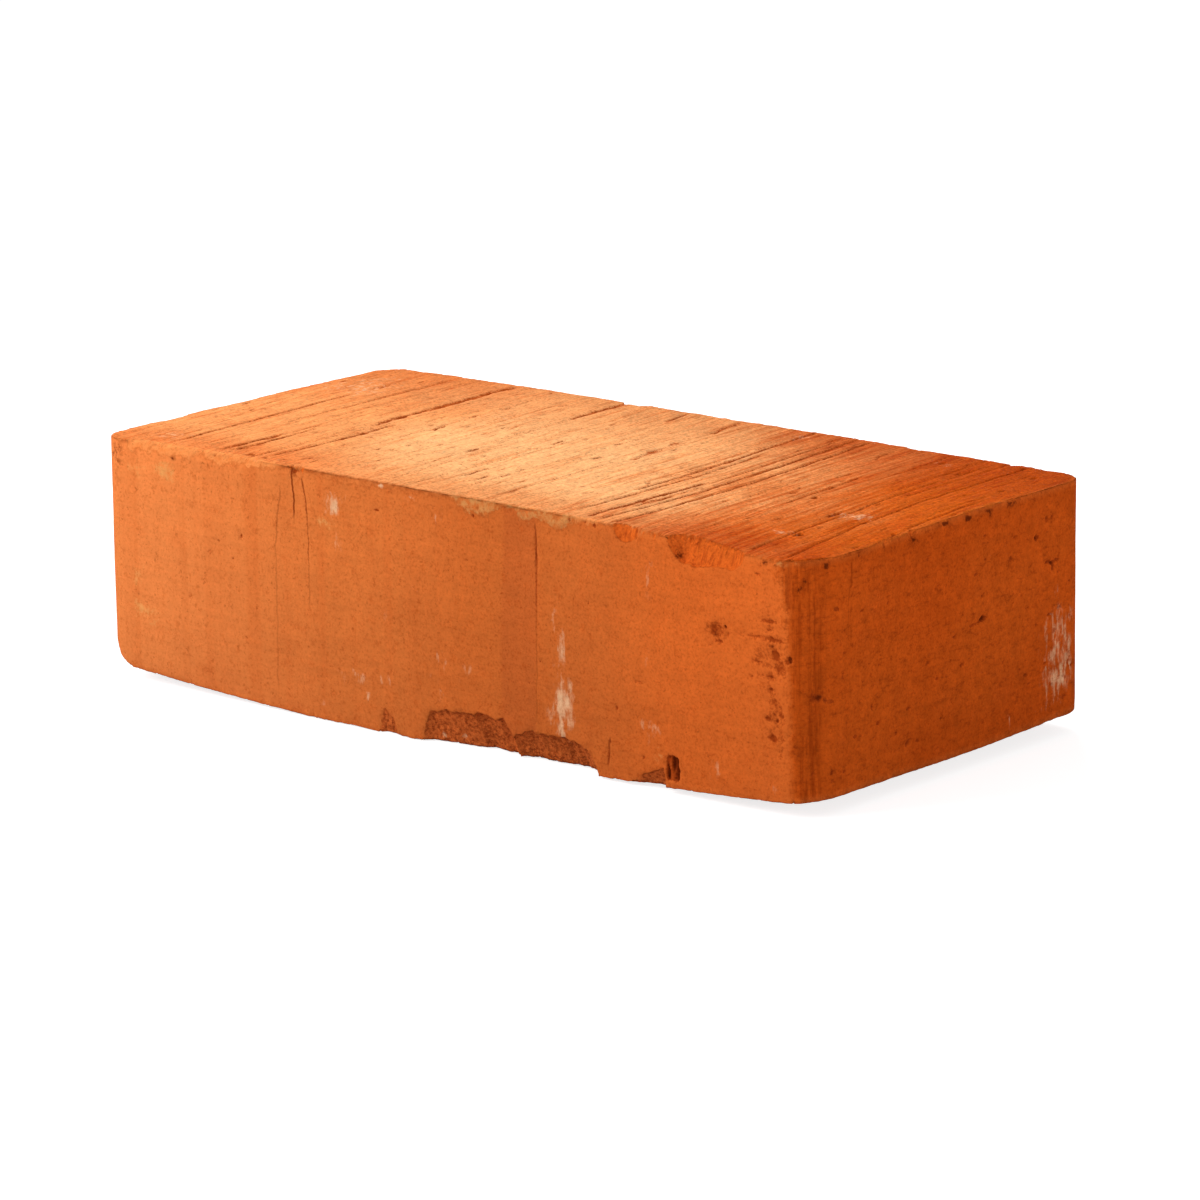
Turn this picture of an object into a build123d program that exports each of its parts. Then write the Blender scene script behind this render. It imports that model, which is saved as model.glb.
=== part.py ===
"""Solid clay brick: pushed through a die, cut by wire and fired in one piece.

X runs along the stretcher face, Y across the header and Z up, with the front stretcher face towards -Y.
The origin lies on the lower bed under the middle of the brick. All sizes are in millimetres.
"""

import os
from math import atan2, cos, hypot, sin, sqrt

from build123d import *

# Format of the brick
length = 250.0
width = 120.0
thickness = 69.0

# Vertical corners left by the die
corner_radius = 9.0

# Shallow drag flutes that the die left on the front stretcher face: middle along X and width
flute_depth = 0.5
flutes = [(-53.0, 11.5), (28.5, 12.5)]

# Beds: flat in the middle and bowed off it towards both headers
lower_land = 90.0
lower_bow = 4.2
upper_land = 110.0
upper_bow = 1.3

# Worn arrises round the beds
upper_arris_radius = 2.0
lower_arris_radius = 1.2

# Grooves that the cutting wire dragged across the upper bed: x and y of the rear end, then of the front end
groove_width = 2.0
groove_depth = 0.7
grooves = [
    (-105.5, 22.0, -101.0, -52.0),
    (-96.0, 57.0, -93.0, -18.0),
    (-82.5, -28.0, -82.5, -53.0),
    (-74.5, 57.0, -70.5, -5.0),
    (-66.0, -4.0, -65.5, -53.0),
    (9.0, 57.0, 15.5, -52.0),
    (34.0, 57.0, 40.5, -25.0),
    (39.5, 27.0, 43.5, -50.0),
    (48.5, 57.0, 55.5, -54.0),
    (49.5, -9.0, 49.5, -54.0),
    (53.5, 57.0, 60.5, -54.0),
    (78.0, 22.0, 80.5, -15.0),
    (96.5, 52.0, 102.5, -54.0),
    (106.0, 57.0, 114.5, -55.0),
]

# Spalls broken off the lower front arris: x and height over the bed along the upper edge of each
spall_depth = 6.5
spall_height = 11.0
spalls = [
    [(-23.0, -1.0), (-21.0, 6.0), (-18.5, 7.0), (-13.0, -1.0)],
    [(-7.0, -1.0), (-3.0, 7.5), (6.0, 10.0), (16.0, 11.0), (22.0, 10.5), (27.0, -1.0)],
    [(24.0, -1.0), (28.0, 8.0), (34.0, 9.5), (46.0, 9.0), (51.5, 7.0), (55.0, -1.0)],
]

# Scoops chipped off the upper front arris: distance from the right header and drop below the bed along the
# lower edge of each
scoop_depth = 3.0
scoop_height = 7.5
scoops = [
    [(66.0, -1.0), (63.0, 4.0), (58.0, 4.5), (54.0, -1.0)],
    [(49.0, -1.0), (45.0, 5.5), (40.0, 7.5), (31.0, 6.5), (24.0, 4.0), (18.0, -1.0)],
]

# Upper front corners knocked off: height down the corner and reach in over the bed
right_break_height = 8.0
right_break_reach = 4.0
left_break_height = 5.5
left_break_reach = 3.0

# How far cutting shapes run past the clay
overrun = 10.0


def bow_rise(x, land, bow):
    """Distance of a bowed bed off its land: an arc from the end of the land to the full bow at the header."""
    centre = ((length / 2) ** 2 + bow**2 - (land / 2) ** 2) / (2 * bow)
    return max(0.0, centre - sqrt(centre**2 + (land / 2) ** 2 - x**2))


def is_rim(edge):
    """Whether an edge runs round a bed, rather than up a corner or across the bed."""
    level = abs((edge @ 1 - edge @ 0).Z) < thickness / 4
    near_stretcher = abs(edge.center().Y) > width / 2 - corner_radius
    near_header = abs(edge.center().X) > length / 2 - corner_radius
    return level and (near_stretcher or near_header)


past_header = length / 2 + overrun
lower_past = bow_rise(past_header, lower_land, lower_bow)
upper_past = thickness - bow_rise(past_header, upper_land, upper_bow)

with BuildPart() as brick:
    # Column of clay as it leaves the die
    with BuildSketch() as die_section:
        RectangleRounded(length, width, corner_radius)
    extrude(amount=thickness)

    # Both beds as the wire leaves them
    with BuildSketch(Plane.XZ) as wire_cut:
        with BuildLine():
            Line((-lower_land / 2, 0), (lower_land / 2, 0))
            Line((-upper_land / 2, thickness), (upper_land / 2, thickness))
            for side in (1, -1):
                header = side * length / 2
                lower_end = (side * past_header, lower_past)
                upper_end = (side * past_header, upper_past)
                ThreePointArc((side * lower_land / 2, 0), (header, lower_bow), lower_end)
                ThreePointArc((side * upper_land / 2, thickness), (header, thickness - upper_bow), upper_end)
                Line(lower_end, upper_end)
        make_face()
    extrude(amount=width / 2 + overrun, both=True, mode=Mode.INTERSECT)

    # Worn arrises
    upper_rim = [edge for edge in brick.edges() if is_rim(edge) and edge.center().Z > thickness / 2]
    fillet(upper_rim, upper_arris_radius)
    lower_rim = [edge for edge in brick.edges() if is_rim(edge) and edge.center().Z < thickness / 4]
    fillet(lower_rim, lower_arris_radius)

    # Drag flutes
    for middle, flute_width in flutes:
        flute_radius = (flute_width**2 / 4 + flute_depth**2) / (2 * flute_depth)
        with Locations((middle, -width / 2 - flute_radius + flute_depth, thickness / 2)):
            Cylinder(flute_radius, thickness + overrun, mode=Mode.SUBTRACT)

    # Wire grooves
    for rear_x, rear_y, front_x, front_y in grooves:
        lean = atan2(front_x - rear_x, rear_y - front_y)
        bed = thickness - bow_rise((rear_x + front_x) / 2, upper_land, upper_bow)
        groove_plane = Plane(
            origin=(rear_x, rear_y, bed),
            x_dir=(cos(lean), sin(lean), 0),
            z_dir=(sin(lean), -cos(lean), 0),
        )
        with BuildSketch(groove_plane):
            with BuildLine():
                Polyline(
                    (0, -groove_depth),
                    (groove_width, groove_depth),
                    (-groove_width, groove_depth),
                    close=True,
                )
            make_face()
        extrude(amount=hypot(front_x - rear_x, rear_y - front_y), mode=Mode.SUBTRACT)

    # Spalls on the lower front arris
    for edge_points in spalls:
        with BuildSketch(Plane.XZ.offset(width / 2)):
            with BuildLine():
                upper_edge = Spline(*edge_points)
                Line(upper_edge @ 1, upper_edge @ 0)
            make_face()
        extrude(
            amount=spall_depth + spall_height,
            dir=(0, spall_depth, -spall_height),
            both=True,
            mode=Mode.SUBTRACT,
        )

    # Scoops on the upper front arris
    for edge_points in scoops:
        face_points = [(length / 2 - from_header, thickness - drop) for from_header, drop in edge_points]
        with BuildSketch(Plane.XZ.offset(width / 2)):
            with BuildLine():
                lower_edge = Spline(*face_points)
                Line(lower_edge @ 1, lower_edge @ 0)
            make_face()
        extrude(
            amount=scoop_depth + scoop_height,
            dir=(0, scoop_depth, scoop_height),
            both=True,
            mode=Mode.SUBTRACT,
        )

    # Knocked upper front corners
    corner_out = corner_radius * (1 - sqrt(0.5))
    for side, height, reach in (
        (1, right_break_height, right_break_reach),
        (-1, left_break_height, left_break_reach),
    ):
        break_plane = Plane(
            origin=(
                side * (length / 2 - corner_out),
                -width / 2 + corner_out,
                thickness - upper_bow - height,
            ),
            x_dir=(1, side, 0),
            z_dir=(side * height, -height, reach * sqrt(2)),
        )
        split(bisect_by=break_plane, keep=Keep.BOTTOM)

brick.part.label = "brick"

os.makedirs("parts", exist_ok=True)
export_step(brick.part, "parts/brick.step")
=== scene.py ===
"""Looks of a solid clay brick: a fine skin with wire grooves, pits, spalls and worn arrises, in fired clay.

The shapes are worked out in millimetres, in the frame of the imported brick: X along the stretcher face, Y
across the header, Z up, and the origin on the lower bed under the middle. The mesh itself is in metres.
"""

import math

import bpy
import numpy as np
from mathutils import Matrix, Vector


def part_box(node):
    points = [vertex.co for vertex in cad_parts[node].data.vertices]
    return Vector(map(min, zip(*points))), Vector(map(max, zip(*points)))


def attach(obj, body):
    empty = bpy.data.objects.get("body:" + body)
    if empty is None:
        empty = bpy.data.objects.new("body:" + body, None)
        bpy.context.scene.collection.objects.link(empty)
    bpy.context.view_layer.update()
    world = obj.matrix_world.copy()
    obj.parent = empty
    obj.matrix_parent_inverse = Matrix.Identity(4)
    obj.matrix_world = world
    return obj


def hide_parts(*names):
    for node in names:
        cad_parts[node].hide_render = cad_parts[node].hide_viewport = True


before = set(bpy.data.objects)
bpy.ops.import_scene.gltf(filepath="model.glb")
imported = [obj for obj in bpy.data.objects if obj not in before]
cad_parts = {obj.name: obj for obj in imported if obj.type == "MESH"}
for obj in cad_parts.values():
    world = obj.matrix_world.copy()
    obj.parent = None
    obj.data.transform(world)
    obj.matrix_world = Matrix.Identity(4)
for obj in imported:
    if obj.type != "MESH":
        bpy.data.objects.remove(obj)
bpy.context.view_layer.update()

MM = 0.001
low_corner, high_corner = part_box("brick")
length, width, thickness = ((high_corner - low_corner) / MM)[:]
half_length = length / 2
half_width = width / 2

# Beds: a flat land in the middle and an arc to the bow at the headers; the lower bed rises under the rear
# corners and the upper bed dips towards the near corner
lower_land = 90.0
lower_bow = 4.2
rear_rise = 1.5
upper_land = 110.0
left_bow = 0.9
right_bow = 0.05
near_dip = 2.2

# Rounded vertical corners and worn arrises
corner_radius = 9.0
upper_arris_radius = 0.75
front_arris_extra = 0.5
lip_radius = 2.4
lower_arris_radius = 0.35
radius_wear = 0.6
near_corner_radius = 18.75
near_corner_edge = [(4, 118.8), (20, 118.2), (40, 116.8), (53, 115.8), (59, 113.5), (66, 112.5)]

# Skin: height of its slow waves, share of the grooves' widths that is kept, how much deeper the lower bed's
# drag lines are than the upper bed's, cells along X, Y and Z, and the most triangles
undulation = 0.13
groove_spread = 0.65
lower_drag = 1.8
cell_sizes = (0.37, 0.5, 0.43)
triangle_limit = 194_000

# How far a normal leans before a point belongs to a face, and before all of the point does
face_start = 0.55
face_whole = 0.95

# Lean of the wire's path over the beds, as X for each Y, and where scattered pits and worn arrises end short
wire_lean = 0.065
pit_margin = 4.0
arris_margin = 3.0

# Wire grooves on the upper bed: points from the rear to the front, width, depth and raggedness
grooves = [
    ([(-105.5, 22), (-103.5, -10), (-101, -52)], 2.3, 0.9, 0.35),
    ([(-96, 58), (-94, 0), (-93, -18)], 2.2, 0.45, 0.3),
    ([(-90, 58), (-88.5, 15), (-87, -20)], 1.8, 0.25, 0.3),
    ([(-80, 40), (-79, 20), (-77.5, -12)], 1.4, 0.25, 0.4),
    ([(-74, 58), (-74.5, 48), (-72.5, 19)], 4.6, 0.8, 0.4),
    ([(-72.5, 19), (-72, 5), (-70.3, -6)], 3.2, 1.1, 0.8),
    ([(-69, -8), (-69, -52)], 1.5, 0.35, 0.4),
    ([(-65.6, 30), (-65.2, -2)], 1.0, 0.2, 0.5),
    ([(-66, -3), (-65, -28)], 2.6, 1.2, 0.8),
    ([(-65, -28), (-65.5, -54)], 1.9, 0.6, 0.5),
    ([(-82.3, -11), (-82.3, -29)], 1.1, 0.45, 0.5),
    ([(-82.8, -29), (-82.6, -54)], 2.6, 1.2, 0.7),
    ([(-79.6, -29), (-79.6, -52)], 2.2, 0.9, 0.7),
    ([(-92, -30), (-91.4, -53)], 1.0, 0.4, 0.7),
    ([(-89, -38), (-88.5, -54)], 1.0, 0.5, 0.7),
    ([(-39, 22), (-38, -5), (-37.5, -50)], 1.0, 0.25, 0.5),
    ([(-33.8, 58), (-32.3, 34)], 3.6, 0.6, 0.5),
    ([(-31, 20), (-29, -10)], 1.0, 0.15, 0.5),
    ([(-34, -19), (-34, -46)], 0.9, 0.2, 0.7),
    ([(-13, 13), (-12.2, -20), (-11.5, -45), (-12, -55)], 1.0, 0.35, 0.5),
    ([(-11, 58), (-8.5, 45)], 2.6, 0.6, 0.5),
    ([(-8.2, 42), (-6.5, 8)], 1.0, 0.15, 0.5),
    ([(-1, 32), (0.5, 0), (1.5, -50)], 2.4, 0.2, 0.4),
    ([(9, 58), (9.6, 48), (12, 40)], 2.4, 0.6, 0.5),
    ([(11.8, 28), (13.6, 14), (15.8, 2)], 4.2, 0.6, 0.9),
    ([(13.5, 0), (14.2, -22), (15.4, -53)], 1.6, 0.4, 0.5),
    ([(34, 58), (35.5, 40), (39, 5), (40.5, -26)], 2.2, 0.7, 0.35),
    ([(40.5, -28), (40.5, -55)], 1.2, 0.25, 0.5),
    ([(39.5, 28), (42.5, 0), (43, -25), (43, -52)], 1.7, 0.75, 0.35),
    ([(44.5, 58), (49, 15), (51, -9)], 1.6, 0.4, 0.4),
    ([(49.6, -8), (49.6, -56)], 2.4, 1.1, 0.6),
    ([(52, -12), (52.4, -42)], 3.4, 0.5, 0.95),
    ([(48.5, 58), (52, 25), (55, -15), (55.5, -35), (54, -57)], 1.9, 0.9, 0.3),
    ([(53, 58), (57, 25), (59.5, -5), (60.2, -38), (59.5, -57)], 1.9, 0.8, 0.35),
    ([(62, 16), (63.5, -20)], 1.0, 0.2, 0.5),
    ([(66, 16), (68, 0), (70, -36)], 1.1, 0.3, 0.5),
    ([(65.3, 54), (66, 45), (68.2, 41)], 1.6, 0.4, 0.5),
    ([(71, -14), (71, -56)], 1.2, 0.3, 0.5),
    ([(72, 58), (71.5, 40)], 1.0, 0.25, 0.5),
    ([(76.5, -15), (78, -46)], 1.0, 0.2, 0.5),
    ([(78, 23), (79.5, 5), (80.6, -15)], 1.8, 0.6, 0.4),
    ([(96.5, 53), (97.5, 30), (100.5, -15), (102.5, -56)], 1.3, 0.6, 0.35),
    ([(106, 58), (107, 30), (110, -20), (115, -57)], 1.3, 0.6, 0.35),
    ([(120, 21), (121, 0), (124, -30), (126, -46)], 1.5, 0.45, 0.4),
]

# Pits: place on the face, half sizes along and across, and depth
upper_pits = [
    (-53.5, 1, 0.55, 4.5, 0.9), (-48, 8, 0.4, 3, 0.5), (-61.5, 9, 0.4, 6, 0.4),
    (-45.5, 45, 0.5, 2.5, 0.5), (-54, -32, 0.5, 1.2, 0.5), (-44.5, -21, 0.5, 1.6, 0.5),
    (-27, -14, 0.6, 4, 1.0), (-8, -35, 0.55, 5, 0.8), (-1.5, -39.5, 0.6, 3.8, 0.9),
    (1, -33, 0.5, 1.8, 0.6), (0, -25, 0.4, 3, 0.4), (6.5, -1.5, 0.6, 1.6, 0.8),
    (-11.5, 15, 0.6, 1.8, 0.7), (-0.5, 15.5, 0.7, 1.8, 0.7), (-18, 34, 0.5, 2, 0.5),
    (-39.5, 12.5, 0.5, 1.6, 0.5), (16, 3.2, 0.6, 2, 0.8), (10, -36, 0.5, 1.4, 0.5),
    (37.5, -17.5, 0.5, 1.4, 0.5), (28, -2, 0.4, 2.5, 0.4), (83, -4, 0.9, 2, 1.2),
    (98, -15, 1.0, 2.6, 1.2), (103.5, -37, 1.0, 1.6, 1.1), (95.5, 41, 0.6, 1.8, 0.7),
    (117, 31.5, 0.6, 1.2, 0.6), (122.5, -22, 0.6, 1.2, 0.6), (89.5, -27, 0.4, 2.5, 0.4),
    (64.5, 5, 0.5, 1.2, 0.5), (75, -2, 0.5, 3, 0.4), (73, 20, 0.5, 3.5, 0.4), (-105.5, 36, 0.8, 3.5, 0.4),
    (-113.5, -9.5, 0.6, 1.5, 0.5), (-71, -54.5, 1.3, 1.2, 1.0), (-65, -55.5, 1.3, 1.0, 1.0),
    (-54.5, -49, 0.5, 2, 0.5), (-51, -52, 0.5, 1.6, 0.5),
]
front_pits = [
    (95.0, 45.6, 3.4, 2.8, 0.35), (94.0, 46.2, 1.5, 1.6, 0.6), (97.8, 47.1, 0.55, 0.5, 1.0),
    (92.6, 41.4, 1.2, 0.45, 0.45), (95.5, 43.0, 1.6, 0.7, 0.4), (98.5, 45.0, 0.7, 1.2, 0.35),
    (118.2, 41.6, 1.1, 1.0, 0.9), (107.8, 62.4, 0.8, 0.5, 0.5), (112.6, 20.4, 1.7, 1.4, 0.6),
    (111.4, 25.2, 1.1, 0.5, 0.6), (114.2, 25.0, 0.6, 0.8, 0.6), (112.4, 33.0, 1.1, 0.6, 0.45),
    (113.6, 42.4, 1.3, 1.6, 0.35), (109.5, 46.0, 6.5, 0.4, 0.35), (112.5, 45.8, 2.4, 0.6, 0.4),
    (111.5, 50.5, 3.6, 0.4, 0.35), (107.5, 39.6, 3.0, 0.45, 0.4), (106.2, 35.4, 1.5, 0.3, 0.35),
    (112.4, 36.2, 0.8, 0.5, 0.4), (102.5, 45.6, 2.0, 0.3, 0.25), (61.5, 20.0, 0.5, 0.8, 0.4),
    (62.0, 16.6, 1.0, 0.35, 0.35), (63.0, 12.0, 0.6, 0.4, 0.35), (58.4, 7.5, 0.3, 2.8, 0.5),
    (59.2, 10.8, 0.3, 0.8, 0.4), (52.0, 46.6, 0.5, 0.4, 0.4), (66.3, 46.8, 0.4, 0.4, 0.3),
    (68.0, 28.0, 1.4, 0.5, 0.3), (13.0, 64.0, 0.4, 0.6, 0.5), (-71.0, 46.7, 0.5, 0.8, 0.45),
    (-83.0, 41.0, 0.7, 0.8, 0.3), (-79.5, 44.5, 0.8, 0.4, 0.3), (-84.5, 55.5, 0.4, 0.5, 0.4),
    (-91.0, 27.5, 0.6, 0.8, 0.25), (-66.0, 27.5, 0.5, 1.0, 0.25), (-70.0, 18.5, 0.6, 0.8, 0.25),
    (-50.8, 67.6, 2.0, 0.9, 0.5), (46.0, 68.2, 0.5, 0.8, 0.7), (51.0, 68.3, 0.5, 0.6, 0.6),
    (54.2, 67.4, 0.7, 0.9, 0.6),
]
right_pits = [
    (36.5, 56.2, 1.3, 1.0, 1.3), (41, 60.3, 0.7, 1.1, 1.0), (43.5, 60.8, 0.8, 0.6, 0.6),
    (43.5, 48.2, 1.3, 0.7, 1.1), (41.8, 48.9, 1.3, 0.5, 0.7), (45.4, 48.8, 1.3, 0.5, 0.7),
    (43.7, 47, 0.5, 1.2, 0.7), (46.2, 45.2, 0.9, 0.45, 0.5), (43.6, 46.3, 0.5, 0.6, 0.7),
    (46, 45.5, 0.7, 0.5, 0.4), (29.2, 43.2, 0.6, 0.5, 0.6), (30, 42, 0.6, 0.7, 0.4),
    (13, 39, 1.5, 0.8, 1.2), (9.5, 38.2, 2.2, 0.5, 0.5), (2.5, 40.5, 0.9, 0.4, 0.4),
    (-0.5, 40, 0.7, 0.4, 0.3), (14, 54.7, 0.7, 0.5, 0.5), (10, 51.6, 1.2, 0.5, 0.5),
    (25.3, 52.5, 0.6, 1.2, 0.5), (-6, 51.5, 0.9, 0.4, 0.3), (-54.2, 31.2, 1.6, 0.9, 1.4),
    (-52.4, 30.4, 1.5, 0.6, 1.0), (-50.3, 29.6, 1.8, 0.45, 0.6), (-58.5, 23.7, 1.4, 1.1, 1.0),
    (-56.5, 25.5, 1.0, 0.6, 0.6), (-31.5, 20.3, 0.9, 0.5, 0.6), (-34, 25.3, 0.5, 0.9, 0.5),
    (-23.7, 16, 0.7, 0.6, 0.8), (-19, 12.5, 0.9, 0.7, 0.6), (-5, 16.2, 0.8, 0.4, 0.5),
    (-50, 11.5, 0.8, 0.8, 0.5), (4, 28.5, 1, 0.5, 0.6), (-6.8, 27, 0.8, 0.5, 0.5),
    (36.5, 32.8, 0.7, 0.6, 0.6), (42.5, 34.5, 1.3, 0.5, 0.6), (47, 35.8, 1.2, 0.5, 0.7),
    (22, 25.8, 0.9, 0.5, 0.4), (29, 22.2, 0.9, 0.4, 0.4), (33.5, 17.5, 1.2, 0.4, 0.5),
    (45, 26.5, 0.5, 0.5, 0.4), (-12.5, 32.7, 0.8, 0.4, 0.3), (-45.5, 35.5, 0.5, 1.2, 0.4),
    (-44.5, 23, 0.6, 0.8, 0.3), (51, 20, 0.8, 0.8, 0.4),
]

# Square gouge in the lower front arris: x, height, half sizes and depth
gouge = (80.0, 6.9, 2.2, 3.4, 1.2)

# Flutes on the front stretcher: height and x of the left crease and of the right crease, and depth
flutes = [
    ([(5, -58.5), (45, -58.5), (62, -56.5)], [(27, -47), (50, -46.3), (60, -47), (66, -48)], 0.4),
    ([(11, 21.8), (35, 21.8), (58, 23.5)], [(12, 33.5), (30, 34), (55, 34.7), (64, 34.3)], 0.4),
]

# Thin creases down the front stretcher: height and x of points, width and depth
front_creases = [
    ([(22, -47), (50, -46.3), (60, -47), (66, -48)], 0.9, 0.22),
    ([(10, 33.5), (30, 34), (55, 34.7), (64, 34.3)], 0.9, 0.26),
    ([(11, 21.8), (35, 21.8), (58, 23.5)], 1.6, 0.12),
    ([(5, -58.5), (45, -58.5), (62, -56.5)], 1.6, 0.1),
]

# Hair cracks in the front stretcher: x and height of the foot and of the head, width and strength
front_cracks = [
    ((-51.4, 54), (-52.2, 68), 0.45, 0.9),
    ((-46.3, 30), (-46.3, 56), 0.35, 0.35),
    ((-46.4, 55), (-48.2, 66), 0.4, 0.65),
    ((-58.5, 6), (-58.3, 46), 0.4, 0.2),
    ((-58.4, 45), (-56.4, 62), 0.4, 0.35),
    ((34.0, 12), (34.6, 56), 0.4, 0.3),
    ((34.6, 54), (34.3, 65), 0.45, 0.6),
    ((58.2, 4), (59.3, 11.5), 0.5, 0.7),
]

# Clay smeared over the upper front arris by the wire: x and how far down the face it hangs
arris_smear = [
    (-116, 0), (-113, 2.2), (-100, 2.6), (-85, 2.0), (-78, 2.8), (-70, 2.4), (-60, 1.6), (-54, 1.0),
    (-47, 1.0), (-40, 1.5), (-33, 2.5), (-22, 2.2), (-12, 1.4), (0, 1.5), (6, 1.8), (9, 3.6), (14, 3.2),
    (18, 3.8), (22, 1.4), (26, 1.2), (30, 3.2), (36, 3.0), (40, 3.4), (45, 2.6), (48, 1.2), (56, 1.0),
    (59, 0),
]

# How far the smeared clay stands out, and how far from its edge the mark of it still changes
smear_rise = 0.25
smear_limit = 3.0

# Lime stains and beige patches: place on the face, half sizes and strength
front_lime = [
    (-36.5, 60.5, 2.6, 4.5, 0.8), (-36, 50, 1.5, 3, 0.3), (-20, 67.8, 2.5, 0.8, 0.7),
    (-18, 66, 1.2, 0.6, 0.5), (-9.5, 65.8, 1.5, 0.6, 0.6), (0.3, 63.5, 0.9, 4.5, 0.5),
    (42, 35, 1.9, 8, 0.65), (42.3, 44, 1.4, 4.5, 0.35), (42.4, 17.3, 3.5, 9.5, 0.85),
    (72, 59, 1.2, 4, 0.4), (72, 50, 1, 3, 0.25), (72, 35, 1.1, 4, 0.35), (72.5, 17, 3.2, 1.3, 0.35),
    (73, 14, 1.2, 2.5, 0.3), (0, 22.5, 2, 4, 0.35), (0.3, 14, 1.2, 3, 0.3), (-17.5, 32, 1.6, 3.5, 0.25),
    (-34.5, 13.5, 1.2, 0.9, 0.5), (-30.5, 14.8, 1.3, 0.9, 0.45), (-27.5, 13.8, 1.2, 0.8, 0.45),
    (-20.5, 15, 1.6, 1.2, 0.5), (-16.5, 15.5, 1.6, 1, 0.45), (6, 18.3, 1.2, 0.9, 0.45),
    (3.5, 15.3, 1.2, 1.1, 0.4), (-2, 17.7, 1, 0.8, 0.4), (-43, 5.2, 3.2, 0.9, 0.35), (94, 9.5, 1, 2, 0.4),
    (112, 7, 1.4, 2.2, 0.3), (10.5, 22.5, 1.0, 0.9, 1.2), (1, 39, 1.0, 0.8, 1.0),
    (-8.5, 41.7, 0.9, 0.7, 0.9), (-26, 9, 0.9, 0.9, 0.8), (-1, 1.5, 1.0, 0.9, 1.0), (6, 2, 1.0, 0.9, 1.0),
]
back_lime = [
    (-62, 40, 2.4, 11, 0.6), (-61, 20, 3, 8, 0.8), (14, 52, 1.6, 7, 0.5), (52, 26, 4, 3, 0.4),
    (96, 14, 5, 5, 0.5), (-104, 30, 3, 9, 0.35), (70, 60, 1.4, 5, 0.45),
]
left_lime = [(-30, 24, 4.5, 8, 0.5), (12, 46, 1.2, 7, 0.4), (40, 58, 5, 3, 0.4)]
lower_lime = [(-80, 20, 9, 8, 0.4), (30, -30, 12, 4, 0.3), (90, 35, 6, 9, 0.35), (-20, 45, 3, 9, 0.3)]
right_lime = [(46, 22, 7, 14, 0.6), (45, 30, 6, 7, 0.5), (47, 16, 5, 6, 0.45), (24.5, 10.5, 0.8, 4, 0.4)]
upper_lime = [
    (-107, -48, 7, 4, 0.4), (-110, 33, 11, 13, 0.4), (-45, -12, 6, 1.5, 0.35), (-50, 22, 10, 1.6, 0.25),
    (10, 3, 3.5, 1.8, 0.35), (32, 51, 9, 3, 0.25), (104, -14, 6, 3, 0.65), (98, -37, 6, 2, 0.5),
    (87, 48, 5, 2, 0.2),
]
front_beige = [
    (-109, 20.5, 4.5, 2.8, 0.7), (-106, 18.8, 3, 1.8, 0.6), (-99.5, 61, 4.5, 3, 0.6),
    (-110, 60, 3.5, 2.4, 0.35), (-111, 30, 2.2, 4.5, 0.35), (74.5, 9, 2.2, 1.8, 0.6),
    (-39.5, 54.5, 3.5, 1.4, 0.5), (116, 65.8, 5, 1.2, 0.4),
]

# Dark smudges, those in front and at the right partly painted shade in scoops, bites and pits: place on the
# face, half sizes and strength
front_smudge_and_shade = [
    (94.5, 45.6, 4.0, 3.4, 0.4), (81.4, 65.0, 2.0, 3.2, 0.55), (62.4, 66.0, 1.3, 1.6, 0.55),
    (92.6, 63.4, 1.1, 1.5, 0.6), (110.2, 65.6, 1.8, 1.3, 0.9), (113.6, 65.0, 1.4, 0.9, 0.6),
    (113.0, 44.5, 3.0, 2.6, 0.4), (112.5, 24.0, 2.6, 5.5, 0.35), (121.8, 60.8, 1.0, 1.8, 0.5),
    (120.2, 59.2, 1.7, 0.7, 0.55), (123.4, 63.4, 1.0, 1.4, 0.45), (120.0, 18.0, 1.2, 4.0, 0.4),
    (-51.4, 66.6, 1.8, 2.0, 0.5), (-117.5, 64.0, 3.6, 3.0, 0.3), (76.5, 4.0, 3.0, 1.6, 0.3),
    (16.0, 66.0, 1.6, 1.2, 0.5), (-96.5, 64.6, 0.9, 0.9, 0.9), (-92.0, 65.0, 1.3, 0.8, 0.7),
    (-84.5, 65.2, 1.0, 0.7, 0.7), (-77.0, 65.4, 1.1, 0.8, 0.7), (-118.0, 63.5, 4.0, 3.2, 0.35),
]
right_smudge_and_shade = [
    (-57.2, 61.8, 1.0, 2.2, 0.5), (-51.5, 65.0, 2.4, 1.4, 1.1), (-54.6, 63.8, 1.7, 1.2, 0.6),
    (-17.0, 65.4, 2.0, 1.7, 1.0), (-27.0, 65.0, 3.4, 2.0, 0.5), (-20.0, 63.2, 4.0, 1.6, 0.35),
    (-42.0, 65.6, 9.0, 1.6, 0.45), (0.0, 65.8, 4.0, 1.6, 0.35), (6.6, 66.8, 2.2, 1.3, 1.0),
    (-3.0, 67.2, 1.8, 1.0, 0.8), (15.5, 67.3, 2.0, 1.1, 0.9), (25.0, 67.4, 3.6, 1.0, 0.7),
    (40.0, 68.0, 6.0, 0.9, 0.5), (-54.0, 35.0, 2.0, 3.6, 0.4), (8.8, 9.2, 3.0, 1.5, 0.45),
    (-50.0, 11.5, 1.6, 1.8, 0.5), (-19.0, 12.5, 1.6, 1.2, 0.45), (-34.0, 25.3, 0.9, 1.6, 0.4),
    (-46.0, 46.0, 1.2, 1.0, 0.3), (-20.0, 13.0, 26.0, 5.0, 0.15),
]
back_soot = [(-40, 30, 5, 3, 0.35), (22, 47, 3, 2.4, 0.45), (78, 18, 4, 6, 0.3), (-92, 52, 3, 2, 0.4)]
left_soot = [(-20, 40, 4, 3, 0.4), (30, 22, 3, 4, 0.35), (10, 63, 7, 1.6, 0.4), (-44, 15, 2, 2, 0.5)]

# Breaks along an arris reach no deeper on the bed and no higher on the face than this
deepest_break = 14.0
highest_break = 16.0

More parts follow.
